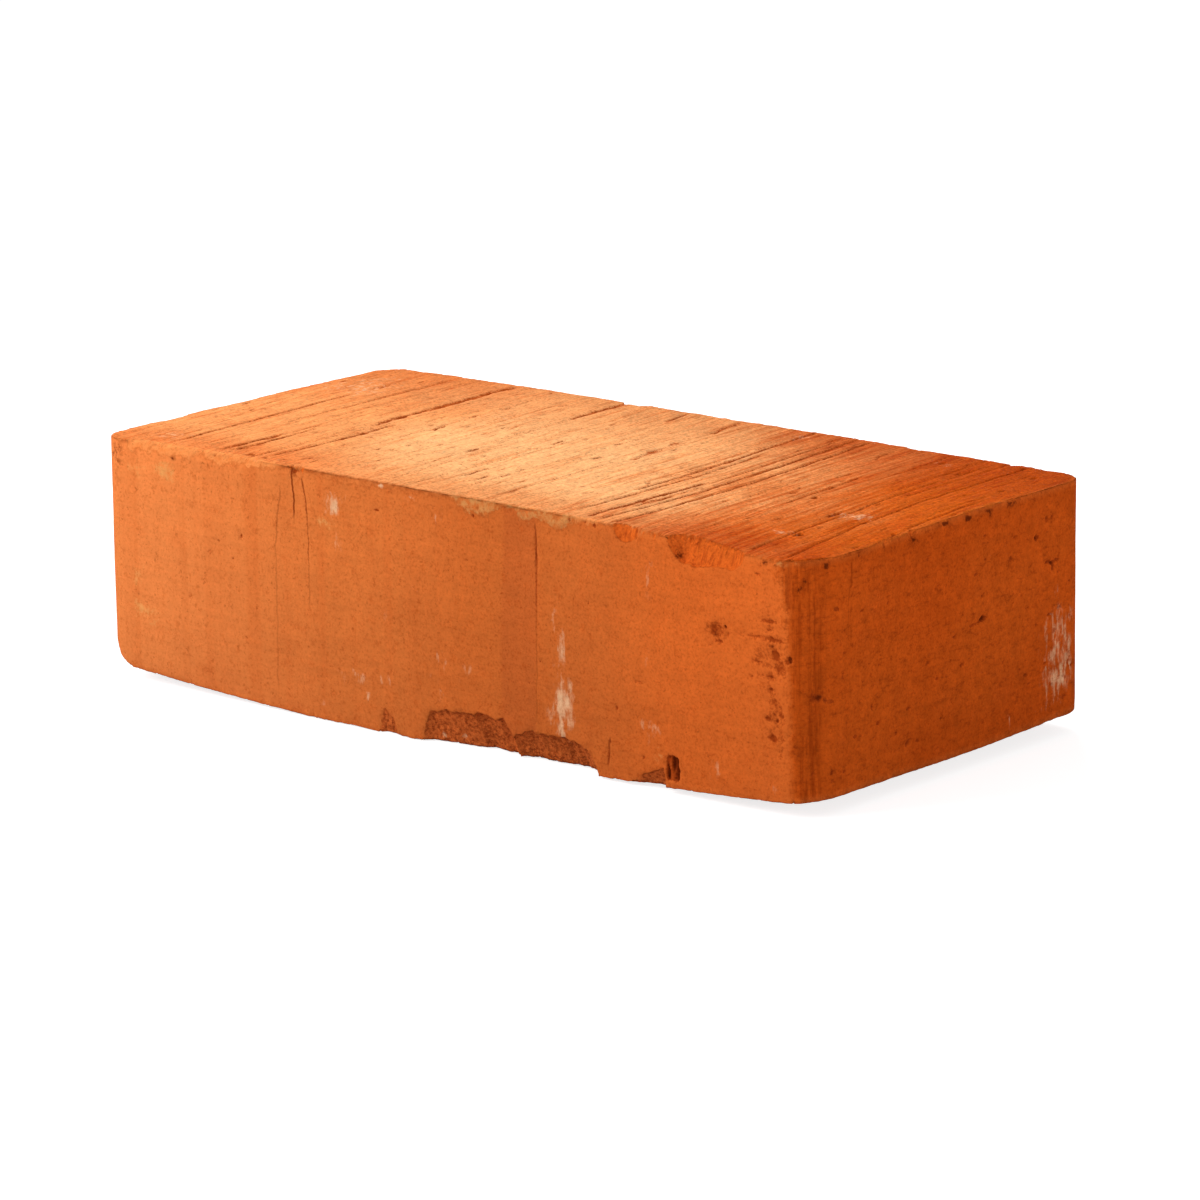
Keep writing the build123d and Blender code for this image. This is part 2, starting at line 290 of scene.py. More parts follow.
# Breaks along an arris: places along it with the height on the face and the depth on the bed, then how much
# the broken surface is hollowed, and its grit
lower_front_breaks = [
    (
        [(-7, 0, 0), (-5, 6, 1.6), (-3.5, 9.4, 2.2), (0, 10.2, 2.6), (8, 10.8, 3.2), (15, 10.9, 4.6),
         (22, 11.0, 4.2), (24.5, 9, 3.6), (26, 5, 2), (27, 0, 0)],
        0.5, 0.22,
    ),
    (
        [(23.5, 0, 0), (24.5, 4, 2), (26, 7.5, 3.6), (30, 8.5, 4.2), (33, 9.5, 4.4), (40, 9.3, 4.7),
         (47, 9, 5), (51, 7.5, 3.8), (53.5, 4, 2), (55.5, 0, 0)],
        0.4, 0.22,
    ),
    (
        [(-23, 0, 0), (-21.5, 5, 0.6), (-20, 8.3, 1.2), (-17, 5.5, 1.4), (-14, 1.2, 0.6), (-13, 0, 0)],
        0.4, 0.2,
    ),
    ([(63, 0, 0), (66, 1.5, 0.8), (72, 3.8, 2.2), (77, 6, 2), (77.8, 0, 0)], 0.3, 0.12),
]
upper_front_breaks = [
    (
        [(59.8, 0, 0), (60.4, 2.4, 1.6), (62, 4.2, 2.2), (64.5, 5, 1.9), (67.5, 4.4, 1.4), (70, 2.6, 1),
         (73, 2.3, 1), (76, 2.2, 1), (77.5, 0, 0)],
        0.5, 0.2,
    ),
    (
        [(77.6, 0, 0), (78.8, 2.6, 2), (80.5, 4.8, 3.2), (83, 6.6, 3.6), (88, 7.2, 3.2), (91, 7, 2.9),
         (94, 5.9, 2.5), (100, 5.6, 1.9), (103, 4, 1.1), (106.5, 0, 0)],
        0.5, 0.22,
    ),
    (
        [(108.4, 0, 0), (109.2, 2.2, 1.4), (111.4, 2, 1.2), (112.4, 0.8, 0.5), (113.4, 1.6, 0.8),
         (114.4, 0, 0)],
        0.2, 0.2,
    ),
    ([(44.4, 0, 0), (45.4, 1.8, 1), (46.6, 0, 0)], 0.2, 0.2),
    ([(50, 0, 0), (51, 1.6, 0.9), (52, 0.8, 0.5), (54, 2.4, 1.2), (55.6, 0, 0)], 0.2, 0.2),
    ([(-53.6, 0, 0), (-52.4, 2.4, 1.6), (-50, 2, 1.4), (-48, 2.6, 1.6), (-46.6, 0, 0)], 0.2, 0.35),
    ([(-98, 0, 0), (-97, 3.6, 1.2), (-95.6, 0, 0)], 0.2, 0.2),
    ([(-94, 0, 0), (-92.8, 2.8, 1.2), (-91.5, 0, 0)], 0.2, 0.2),
    ([(-78.6, 0, 0), (-77.8, 2.6, 1), (-76.8, 0, 0)], 0.2, 0.2),
]
right_upper_breaks = [
    (
        [(-50, 0, 0), (-46, 2.2, 0.4), (-40, 3, 0.5), (-34, 2.8, 0.5), (-28, 4, 0.6), (-20, 3.4, 0.6),
         (-14, 3.4, 0.6), (-9, 1.4, 0.4), (-7, 0, 0)],
        0.1, 0.25,
    ),
    ([(-59, 0, 0), (-57.5, 4.4, 3.4), (-54.5, 4.6, 3.4), (-52.5, 2, 1), (-50.5, 0, 0)], 0.4, 0.5),
    (
        [(-30, 0, 0), (-28, 3, 1.3), (-26, 2.6, 1.2), (-24.5, 1.2, 0.6), (-18.5, 1.4, 0.6), (-16.5, 3.2, 1.4),
         (-14.5, 0, 0)],
        0.2, 0.3,
    ),
    ([(-5.2, 0, 0), (-4, 1.8, 1.1), (-2.2, 1.4, 0.9), (-1.2, 0, 0)], 0.2, 0.25),
    ([(4.6, 0, 0), (6, 2.2, 1.4), (7.8, 1.8, 1.2), (9, 0, 0)], 0.2, 0.25),
    ([(13, 0, 0), (14.8, 1.8, 1.1), (17.6, 1.2, 0.8), (19.5, 0, 0)], 0.2, 0.25),
    ([(21.5, 0, 0), (23, 1.2, 0.8), (27.5, 1.3, 0.8), (29, 0, 0)], 0.2, 0.25),
    ([(36, 0, 0), (38, 0.9, 0.6), (41, 0.8, 0.5), (42, 0, 0)], 0.2, 0.2),
]

# Breaks on the arrises away from the camera: the same measures
lower_back_breaks = [
    ([(-96, 0, 0), (-93, 5, 2), (-86, 7.5, 3.4), (-78, 6.5, 3), (-73, 3, 1.4), (-71, 0, 0)], 0.1, 0.3),
    ([(38, 0, 0), (40, 3.5, 1.5), (45, 5, 2.2), (50, 2.2, 1), (52, 0, 0)], 0.1, 0.25),
]
upper_back_breaks = [
    ([(-36, 0, 0), (-34.5, 3, 1.6), (-30, 4.2, 2), (-26, 2, 1), (-24.5, 0, 0)], 0.25, 0.25),
    ([(64, 0, 0), (65.5, 2, 1.2), (69, 2.6, 1.3), (73, 1.2, 0.6), (74.5, 0, 0)], 0.2, 0.25),
    ([(99, 0, 0), (100.4, 2.4, 1.4), (102.5, 0, 0)], 0.2, 0.2),
]
lower_left_breaks = [([(12, 0, 0), (14, 4.2, 1.8), (20, 5.4, 2.4), (26, 3.2, 1.4), (28, 0, 0)], 0.1, 0.3)]
upper_left_breaks = [
    ([(-36, 0, 0), (-34, 2.2, 1.2), (-29, 2.6, 1.2), (-25, 1.2, 0.7), (-23.5, 0, 0)], 0.2, 0.25),
    ([(20, 0, 0), (21.5, 1.8, 1), (24, 0, 0)], 0.2, 0.2),
]


def ramp(value, start, end):
    """Smooth step: 0 at the start, 1 at the end, and a cubic curve with level ends between them."""
    t = np.clip((value - start) / (end - start), 0.0, 1.0)
    return t * t * (3 - 2 * t)


def smooth_noise(coordinates, cell, seed):
    """Lattice noise from -1 to 1: random numbers at the knots of a grid, joined by smooth steps."""
    spots = [np.asarray(c, float) / s for c, s in zip(coordinates, np.broadcast_to(cell, len(coordinates)))]
    knots = [np.floor(s).astype(int) for s in spots]
    parts = [s - k for s, k in zip(spots, knots)]
    parts = [p * p * (3 - 2 * p) for p in parts]
    starts = [k.min() for k in knots]
    knots = [k - s for k, s in zip(knots, starts)]
    lattice = np.random.default_rng(seed).uniform(-1, 1, [k.max() + 2 for k in knots])
    total = 0.0
    for corner in range(2 ** len(knots)):
        bits = [(corner >> axis) & 1 for axis in range(len(knots))]
        weight = 1.0
        for bit, part in zip(bits, parts):
            weight = weight * (part if bit else 1 - part)
        total = total + weight * lattice[tuple(k + bit for k, bit in zip(knots, bits))]
    return total


def rough_noise(coordinates, cell, octaves, seed):
    """Sum of smooth noises, each of half the cell and half the height of the one before."""
    cell = np.asarray(cell, float)
    total = 0.0
    for octave in range(octaves):
        total = total + smooth_noise(coordinates, cell / 2**octave, seed + octave) / 2**octave
    return total


def line_at(place, line):
    """Second number of a line of points, at a place along the first one."""
    return np.interp(place, *np.array(line, float).T)


def bow_rise(x, land, bow):
    """Distance of a bowed bed off its land: an arc from the end of the land to the full bow at the header."""
    centre = (half_length**2 + bow**2 - (land / 2) ** 2) / (2 * bow)
    return np.maximum(0.0, centre - np.sqrt(centre**2 + (land / 2) ** 2 - x**2))


def lower_bed(x, y):
    """Height of the lower bed: its bow, and a rise to the rear by the square of the distance along."""
    rear = np.clip((y - 5) / (half_width - 5), 0, 1) ** 1.3
    return bow_rise(x, lower_land, lower_bow) + rear_rise * rear * (x / half_length) ** 2


def upper_bed(x, y):
    """Height of the upper bed: the thickness less a bow, unlike left and right, and a near dip."""
    bow = left_bow + (right_bow - left_bow) * ramp(x, -60, 60)
    dip = near_dip * ramp(x, 50, half_length) * np.clip((10 - y) / 70, 0, 1)
    return thickness - bow * bow_rise(x, upper_land, 1.0) - dip


def box_skin(counts):
    """Grid over the six faces of a box: the (i, j, k) of each vertex, with shared edges, and the quads."""
    sizes = np.array(counts)
    steps = np.array([1, sizes[0] + 1, (sizes[0] + 1) * (sizes[1] + 1)])
    keys, quads, total = [], [], 0
    for axis in range(3):
        first, second = (axis + 1) % 3, (axis + 2) % 3
        i, j = np.meshgrid(np.arange(sizes[first] + 1), np.arange(sizes[second] + 1), indexing="ij")
        number = np.arange(i.size).reshape(i.shape)
        for end in (0, sizes[axis]):
            keys.append((i * steps[first] + j * steps[second] + end * steps[axis]).ravel())
            loop = [number[:-1, :-1], number[1:, :-1], number[1:, 1:], number[:-1, 1:]]
            loop = loop if end else loop[::-1]
            quads.append(np.stack([corner.ravel() for corner in loop], 1) + total)
            total += i.size
    keys, index = np.unique(np.concatenate(keys), return_inverse=True)
    places = np.stack([keys % steps[1], keys // steps[1] % (sizes[1] + 1), keys // steps[2]], 1)
    return places, index[np.concatenate(quads)]


def round_arris(outward, up, radius):
    """Carries a square edge onto a quarter circle: each point goes out from the centre to the radius."""
    near = (outward > -radius) & (up > -radius)
    across, rise = outward + radius, up + radius
    reach = np.where(near, np.hypot(across, rise), 1.0)
    new_outward = np.where(near, radius * across / reach - radius, outward)
    new_up = np.where(near, radius * rise / reach - radius, up)
    lean = np.where(near, rise / reach, 0.0)
    return new_outward, new_up, lean, near


def plain_brick(places, counts):
    """Brick without marks: a rounded rectangle, shrunk to the middle on its bowed beds, with worn arrises.

    Returns the points, their outward normals and how near each one is to an arris, from 0 to 1.
    """
    u, v, w = (2.0 * places / np.array(counts) - 1.0).T
    share = np.maximum(np.maximum(np.abs(u), np.abs(v)), 1e-9)
    rim_x, rim_y = u / share * half_length, v / share * half_width
    core_x = np.clip(rim_x, corner_radius - half_length, half_length - corner_radius)
    core_y = np.clip(rim_y, corner_radius - half_width, half_width - corner_radius)
    out_x, out_y = rim_x - core_x, rim_y - core_y
    reach = np.hypot(out_x, out_y)
    out_x, out_y = out_x / reach, out_y / reach
    rim_x, rim_y = core_x + corner_radius * out_x, core_y + corner_radius * out_y
    x, y = share * rim_x, share * rim_y
    outward = (share - 1) * (rim_x * out_x + rim_y * out_y)
    lower, upper = lower_bed(x, y), upper_bed(x, y)
    z = lower + (w + 1) / 2 * (upper - lower)

    around = (rim_x, rim_y)
    wear = 1 + radius_wear * rough_noise(around, 14, 3, 11)
    on_front = ramp(-rim_y, 52, 59) * ramp(np.abs(rim_x), 119, 113)
    radius = upper_arris_radius + on_front * (front_arris_extra + lip_radius * ramp(-rim_x, 52, 92))
    above, rise, lean_up, near_up = round_arris(outward, z - upper, radius * wear)
    wear = 1 + radius_wear * rough_noise(around, 11, 3, 17)
    below, drop, lean_down, near_down = round_arris(outward, lower - z, lower_arris_radius * wear)
    shift = (above - outward) + (below - outward)
    x, y = x + shift * out_x, y + shift * out_y
    z = z + (upper + rise - z) * near_up - (z - lower + drop) * near_down

    on_bed = np.abs(w) > 1 - 1e-9
    flat = np.where(near_up, lean_up, np.where(near_down, -lean_down, np.where(on_bed, np.sign(w), 0.0)))
    level = np.sqrt(1 - flat**2)
    points = np.stack([x, y, z], 1)
    normals = np.stack([level * out_x, level * out_y, flat], 1)
    band = 4.0
    from_arris = np.minimum(np.abs(outward) + np.minimum(np.abs(upper - z), np.abs(z - lower)), band)
    return points, normals, 1 - from_arris / band


def groove_relief(x, y, lines):
    """Depth of the wire grooves: each a rounded trough about its line, faded at its ends, torn by noise."""
    depth = np.zeros_like(x)
    for number, (line, groove_width, groove_depth, ragged) in enumerate(lines):
        groove_width = groove_width * groove_spread
        line_x, line_y = np.array(line[::-1], float).T
        middle = np.interp(y, line_y, line_x) + 0.25 * smooth_noise((y,), 7, 900 + number)
        near = (np.abs(x - middle) < 1.5 * groove_width) & (y > line_y[0] - 3) & (y < line_y[-1] + 3)
        across = (x - middle)[near] / (groove_width / 2)
        tear = rough_noise((x[near], y[near]), (0.9, 3.5), 2, 400 + number)
        across = across * (1 + 0.5 * ragged * smooth_noise((y[near],), 2.2, 700 + number))
        trough = np.clip(1 - across**2, 0, 1) ** 0.8
        ends = ramp(y[near], line_y[0] - 2, line_y[0] + 4) * ramp(y[near], line_y[-1] + 2, line_y[-1] - 4)
        depth[near] += groove_depth * trough * ends * np.clip(1 - ragged * (0.4 + 0.8 * tear), 0.1, 1.6)
    return depth


def pit_relief(along, across, pits, lean, seed):
    """Depth of pits: each an ellipse with steep walls, its outline torn by a coarse and a fine noise."""
    depth = np.zeros_like(along)
    for number, (middle, level, half_along, half_across, pit_depth) in enumerate(pits):
        shift = (across - level) * lean
        near = (np.abs(along - middle - shift) < 2 * half_along) & (np.abs(across - level) < 2 * half_across)
        if near.any():
            spot = (along[near], across[near])
            reach = np.hypot((spot[0] - middle - shift[near]) / half_along, (spot[1] - level) / half_across)
            coarse = smooth_noise(spot, (half_along + 0.4, half_across + 0.4), seed + number)
            reach = reach * (1 + 0.5 * coarse) + 0.3 * smooth_noise(spot, 0.7, seed + 17)
            depth[near] = np.maximum(depth[near], pit_depth * ramp(reach, 1.1, 0.35))
    return depth


def scattered_pits(along, level, spread, count, seed):
    """Seeded list of small pits over a stretch of a face, most of them tiny."""
    rng = np.random.default_rng(seed)
    middles = rng.uniform(*along, count)
    levels = rng.uniform(*level, count)
    size = 0.35 + 0.6 * rng.random(count) ** 3
    return list(zip(middles, levels, size * spread[0], size * spread[1], 0.7 * size))


def scattered_grooves(count, slope, seed):
    """Seeded list of thin drag lines over a bed, at about one slope."""
    rng = np.random.default_rng(seed)
    lines = []
    for _ in range(count):
        x, y = rng.uniform(-half_length, half_length), rng.uniform(-half_width, half_width)
        reach = rng.uniform(8, 55)
        lean = slope + rng.normal(0, 0.015)
        line = [(x + lean * reach, y + reach), (x, y), (x - lean * reach, y - reach)]
        lines.append((line, rng.uniform(0.8, 1.5), 0.06 + 0.3 * rng.random() ** 2, 0.6))
    return lines


def flute_relief(x, z):
    """Depth of the die's flutes: a shallow arc between a left and a right crease."""
    depth = np.zeros_like(x)
    for left, right, flute_depth in flutes:
        left_x, right_x = line_at(z, left), line_at(z, right)
        across = (2 * x - left_x - right_x) / (right_x - left_x)
        depth += flute_depth * np.clip(1 - across**2, 0, 1)
    return depth


def crease_relief(x, z):
    """Depth of the thin creases: each a rounded trough about its line, faded at both ends."""
    depth = np.zeros_like(x)
    for number, (line, crease_width, crease_depth) in enumerate(front_creases):
        line_z, line_x = np.array(line, float).T
        wobble = 0.15 * smooth_noise((z,), 5, 940 + number)
        across = (x - np.interp(z, line_z, line_x) - wobble) / (crease_width / 2)
        ends = ramp(z, line_z[0] - 3, line_z[0] + 3) * ramp(z, line_z[-1] + 2, line_z[-1] - 2)
        patchy = np.clip(0.8 + 0.6 * smooth_noise((z,), 4, 960 + number), 0, 1.2)
        fade = (0.4 + 0.6 * ramp(z, 32, 54)) * patchy
        depth += crease_depth * np.clip(1 - across**2, 0, 1) * ends * fade
    return depth


def corner_erosion(x, z):
    """Depth of the crumbled strip by the near corner: tears and lumps where stretched noises are high."""
    strip = ramp(x, 103, 113) * ramp(x, 121, 117) * ramp(z, 10, 20) * ramp(z, 56, 46)
    tears = ramp(rough_noise((x, z), (6.0, 1.5), 3, 85), 0.3, 1.0)
    lumps = ramp(rough_noise((x, z), (3.4, 3.8), 3, 86), 0.15, 1.1)
    return strip * (0.2 * tears + 0.35 * lumps)


def gouge_relief(x, z):
    """Depth of the square gouge: a box with soft walls, its floor ribbed by a noise stretched up the face."""
    middle, level, half_along, half_up, gouge_depth = gouge
    reach = ((x - middle) / half_along) ** 4 + ((z - level) / half_up) ** 4
    reach = reach + 0.5 * rough_noise((x, z), (1.4, 2.2), 2, 87)
    ribs = rough_noise((x, z), (0.8, 4.0), 2, 88)
    return gouge_depth * ramp(reach, 1.2, 0.5) * np.clip(0.75 + 0.6 * ribs, 0.15, 1.3)


def smear_reach(x, z):
    """How far, in millimetres, a point of the front face lies above the lower edge of the smeared clay."""
    hang = line_at(x, arris_smear)
    hang = hang * (1 + 0.3 * rough_noise((x,), 6.0, 2, 81))
    return hang - (upper_bed(x, -half_width) - z)


def stain_and_shade_share(along, across, stains, seed):
    """Strength of stains and of painted shade at a point: soft ellipses, their reach stirred by noise."""
    share = np.zeros_like(along)
    stir = rough_noise((along, across), (1.6, 3.0), 3, seed)
    for middle, level, half_along, half_across, strength in stains:
        reach = np.hypot((along - middle) / half_along, (across - level) / half_across)
        share = np.maximum(share, strength * ramp(reach + 0.45 * stir, 1.25, 0.2))
    return share


def wear_near_corner(points):
    """Rubs the near vertical corner to a wider arc, with an edge at the front face and none at the header.

    Returns how far round the arc each point lies, from 0 at the front face to 1 at the header.
    """
    centre_x = half_length - near_corner_radius
    start_x = line_at(points[:, 2], near_corner_edge) - centre_x
    start_x = start_x + 0.6 * rough_noise((points[:, 2],), 6.0, 3, 87)
    start_y = np.sqrt(near_corner_radius**2 - start_x**2)
    apart_x, apart_y = points[:, 0] - centre_x, points[:, 1] + half_width - start_y
    near = (apart_x > 0) & (apart_y < 0)
    whole_turn = np.arctan2(start_y, start_x)[near]
    apart_x, apart_y, z = apart_x[near], apart_y[near], points[near, 2]
    reach = np.hypot(apart_x, apart_y)
    turn = np.arctan2(-apart_y, apart_x)
    stripes = 0.2 * rough_noise((turn * near_corner_radius, z), (1.5, 60), 3, 83)
    rough = 0.3 * rough_noise((turn * near_corner_radius, z), 9, 3, 84)
    crease = 0.4 * np.clip(1 - ((turn - 0.5) * near_corner_radius / 1.0) ** 2, 0, 1)
    push = np.maximum(reach - near_corner_radius - stripes - rough + crease, 0)
    points[near, 0] -= push * apart_x / reach
    points[near, 1] -= push * apart_y / reach
    around = np.zeros(len(points))
    around[near] = np.clip(1 - turn / whole_turn, 0, 1)
    return around


def break_arris(points, arris, face_in, bed_in, along, outline, hollowed, grit, cells, seed):
    """Breaks clay off along an arris: points outside the broken surface move in at right angles to it.

    The outline gives places along the arris, with the height of the break on the face and its depth on the
    bed. The surface drops in steeply at the edge on the face, is straight from there to the bed, and is
    roughened by noise of the given cells, along the arris and up the slope. Returns how far each point moved.
    """
    place = points[:, along]
    apart = points - arris
    inward, upward = apart @ face_in, apart @ bed_in
    stations, heights, depths = np.asarray(outline, float).T
    near = (place > stations[0]) & (place < stations[-1])
    near &= (inward < deepest_break) & (upward < highest_break)
    moved = np.zeros(len(points))
    if not near.any():
        return moved
    ragged = 1 + 0.06 * rough_noise((place[near],), 2.0, 3, seed)
    height = np.maximum(np.interp(place[near], stations, heights) * ragged, 0.001)
    depth = np.maximum(np.interp(place[near], stations, depths) * ragged, 0.001)
    slant = np.hypot(height, depth)
    outside = (height * inward[near] + depth * upward[near]) / slant
    slope = (height * upward[near] - depth * inward[near]) / slant
    cut = height * depth / slant
    share = np.clip((slope + depth**2 / slant) / slant, 0, 1)
    rough = grit * rough_noise((place[near], slope), cells, 3, seed + 31) * ramp(cut, 0.1, 1.0)
    steep = hollowed * cut * ramp(share, 1.0, 0.8)
    push = np.maximum(cut + steep + rough - outside, 0) * (height > 0.05)
    points[near] += push[:, None] * (height[:, None] * face_in + depth[:, None] * bed_in) / slant[:, None]
    moved[near] = push
    return moved


def break_corner(points, tip, inward, reach, grit, seed):
    """Knocks a corner off: points nearer the tip than the reach, measured inward, move in to that depth."""
    inward = np.asarray(inward, float) / np.linalg.norm(inward)
    depth = (points - tip) @ inward
    near = depth < reach + 2 * grit
    spread = points[near] - tip
    rough = grit * rough_noise(spread.T, 2.6, 3, seed)
    push = np.maximum(reach + rough - depth[near], 0)
    points[near] += push[:, None] * inward
    moved = np.zeros(len(points))
    moved[near] = push
    return moved


def wear_outline(start, end, heaviness, seed):
    """Outline of wear along an arris: shallow bites where a slow and a quick noise are high, and teeth."""
    stations = np.arange(start, end, 0.6)
    slow = smooth_noise((stations,), 16, seed)
    quick = rough_noise((stations,), 4.2, 2, seed + 1)
    teeth = np.clip(smooth_noise((stations,), 1.8, seed + 5), 0, 1)
    bites = heaviness * (np.clip(quick - 0.3, 0, 1) * (1.4 + slow) + np.clip(slow - 0.55, 0, 1) + 0.6 * teeth)
    bites[[0, -1]] = 0
    return np.stack([stations, bites, 0.6 * bites], 1)


def face_shares(normals):
    """How far each point belongs to each face, from 0 to 1, by the lean of its normal."""
    right, back, top = ramp(normals, face_start, face_whole).T
    left, front, bottom = ramp(-normals, face_start, face_whole).T
    return {"right": right, "left": left, "back": back, "front": front, "top": top, "bottom": bottom}


def on_face(share, values, places, *settings):
    """Values over one face: worked out from the places where its share is above 0, times that share."""
    face = share > 0
    total = np.zeros(len(share))
    total[face] = share[face] * values(*(place[face] for place in places), *settings)
    return total


def even_relief(x, y, z, bed):
    """Depth lost all over: slow waves and lumps, with drag lines on the beds and die lines on the sides."""
    relief = undulation * (1 + rough_noise((x, y, z), 38, 3, 5))
    relief = relief + 0.05 * (1 + rough_noise((x, y, z), 5, 2, 6))
    drag = rough_noise((x + 0.06 * y, y), (2.6, 60), 2, 7)
    relief = relief + bed * 0.05 * (1 + drag)
    die = smooth_noise((x - y, z), (5, 160), 8)
    return relief + (1 - bed) * 0.03 * (1 + die)


def hollow_relief(x, y, z, faces):
    """Depth of what is torn out of each face: pits, wire grooves, a crumbled strip and a gouge."""
    over_x = (-half_length, half_length)
    over_y = (-half_width, half_width)
    over_z = (pit_margin, thickness - pit_margin)
    hollow = np.zeros(len(x))
    for name, places, pits, lean, seed in (
        ("top", (x, y), upper_pits + scattered_pits(over_x, over_y, (0.6, 2.2), 240, 21), -0.06, 41),
        ("bottom", (x, y), scattered_pits(over_x, over_y, (0.9, 2.4), 260, 22), 0.04, 42),
        ("front", (x, z), front_pits + scattered_pits(over_x, over_z, (0.8, 0.45), 50, 23), 0.0, 43),
        ("back", (x, z), scattered_pits(over_x, over_z, (1.3, 0.8), 110, 24), 0.0, 44),
        ("right", (y, z), right_pits + scattered_pits(over_y, over_z, (1.2, 0.7), 80, 25), 0.0, 45),
        ("left", (y, z), scattered_pits(over_y, over_z, (1.4, 0.8), 90, 26), 0.0, 46),
    ):
        hollow += on_face(faces[name], pit_relief, places, pits, lean, seed)
    hollow += on_face(faces["top"], groove_relief, (x, y), grooves + scattered_grooves(110, -0.06, 61))
    hollow += on_face(faces["bottom"] * lower_drag, groove_relief, (x, y), scattered_grooves(130, 0.04, 62))
    hollow += on_face(faces["front"], corner_erosion, (x, z))
    return np.maximum(hollow, on_face(faces["front"], gouge_relief, (x, z)))


def break_clay(points, x, y):
    """Wears and breaks all eight arrises and knocks off three corners. Returns how broken each point is.

    The arrises are taken from the places of the points before any relief.
    """
    broken = np.zeros(len(points))
    lower_front = np.stack([x, np.full_like(x, -half_width), lower_bed(x, -half_width)], 1)
    upper_front = np.stack([x, np.full_like(x, -half_width), upper_bed(x, -half_width)], 1)
    lower_right = np.stack([np.full_like(y, half_length), y, lower_bed(half_length, y)], 1)
    upper_right = np.stack([np.full_like(y, half_length), y, upper_bed(half_length, y)], 1)
    to_back, to_left = (1, -1, 1), (-1, 1, 1)
    from_front, from_back = np.array([0.0, 1, 0]), np.array([0.0, -1, 0])
    from_right, from_left = np.array([-1.0, 0, 0]), np.array([1.0, 0, 0])
    from_below, from_above = np.array([0.0, 0, 1]), np.array([0.0, 0, -1])
    end_x, end_y = half_length - arris_margin, half_width - arris_margin
    arrises = [
        (lower_front, from_front, from_below, 0, end_x, 0.6, lower_front_breaks),
        (upper_front, from_front, from_above, 0, end_x, 0.9, upper_front_breaks),
        (lower_front * to_back, from_back, from_below, 0, end_x, 0.9, lower_back_breaks),
        (upper_front * to_back, from_back, from_above, 0, end_x, 0.4, upper_back_breaks),
        (lower_right, from_right, from_below, 1, end_y, 0.8, []),
        (upper_right, from_right, from_above, 1, end_y, 1.0, right_upper_breaks),
        (lower_right * to_left, from_left, from_below, 1, end_y, 0.9, lower_left_breaks),
        (upper_right * to_left, from_left, from_above, 1, end_y, 1.5, upper_left_breaks),
    ]
    for number, (arris, face_in, bed_in, along, end, heaviness, breaks) in enumerate(arrises):
        place = (arris, face_in, bed_in, along)
        worn = wear_outline(-end, end, heaviness, 200 + 10 * number)
        moved = break_arris(points, *place, worn, 0.1, 0.12, (2.2, 2.2), 300 + number)
        broken = np.maximum(broken, 0.6 * moved)
        cells = (2.4, 9.0) if bed_in is from_above else (2.0, 2.0)
        for count, (outline, hollowed, grit) in enumerate(breaks):
            moved = break_arris(points, *place, outline, hollowed, grit, cells, 500 + 40 * number + count)
            broken = np.maximum(broken, moved)
    corner_in = corner_radius * (1 - math.sqrt(0.5))
    near_tip = (half_length - corner_in, corner_in - half_width, thickness - right_bow - near_dip)
    broken = np.maximum(broken, break_corner(points, near_tip, (-0.65, 0.65, -0.5), 2.8, 1.1, 71))
    left_tip = (corner_in - half_length, corner_in - half_width, thickness - left_bow)
    broken = np.maximum(broken, break_corner(points, left_tip, (0.5, 0.75, -0.3), 0.5, 0.4, 72))
    foot_tip = (corner_in - half_length, corner_in - half_width, lower_bow + 0.5)
    break_corner(points, foot_tip, (0.5, 0.25, 0.83), 2.6, 0.5, 73)
    break_corner(points, foot_tip, (0.8, 0.35, 0.5), 3.0, 0.5, 74)
    return broken


def stain_and_shade_marks(x, y, z, faces, normals):
    """Lime, beige and dark smudges at each point, the smudges partly painted shade: the marks of each face,
    where the point belongs to it.
    """
    front, right = faces["front"], faces["right"]
    front_round = ramp(-normals[:, 1], 0.45, 0.75)
    right_round = ramp(normals[:, 0], 0.45, 0.75)
    stains_and_shade = {name: np.zeros(len(x)) for name in ("lime", "smudge_and_shade", "beige")}
    for share, places, stains, name, seed in (
        (front, (x, z), front_lime, "lime", 91),
        (right, (y, z), right_lime, "lime", 92),
        (faces["top"], (x, y), upper_lime, "lime", 93),
        (front, (x, z), front_beige, "beige", 94),
        (faces["back"], (x, z), back_lime, "lime", 95),
        (faces["left"], (y, z), left_lime, "lime", 96),
        (faces["bottom"], (x, y), lower_lime, "lime", 97),
        (front_round, (x, z), front_smudge_and_shade, "smudge_and_shade", 98),
        (right_round, (y, z), right_smudge_and_shade, "smudge_and_shade", 99),
        (faces["back"], (x, z), back_soot, "smudge_and_shade", 190),
        (faces["left"], (y, z), left_soot, "smudge_and_shade", 191),
    ):
        stains_and_shade[name] += on_face(share, stain_and_shade_share, places, stains, seed)
    return stains_and_shade


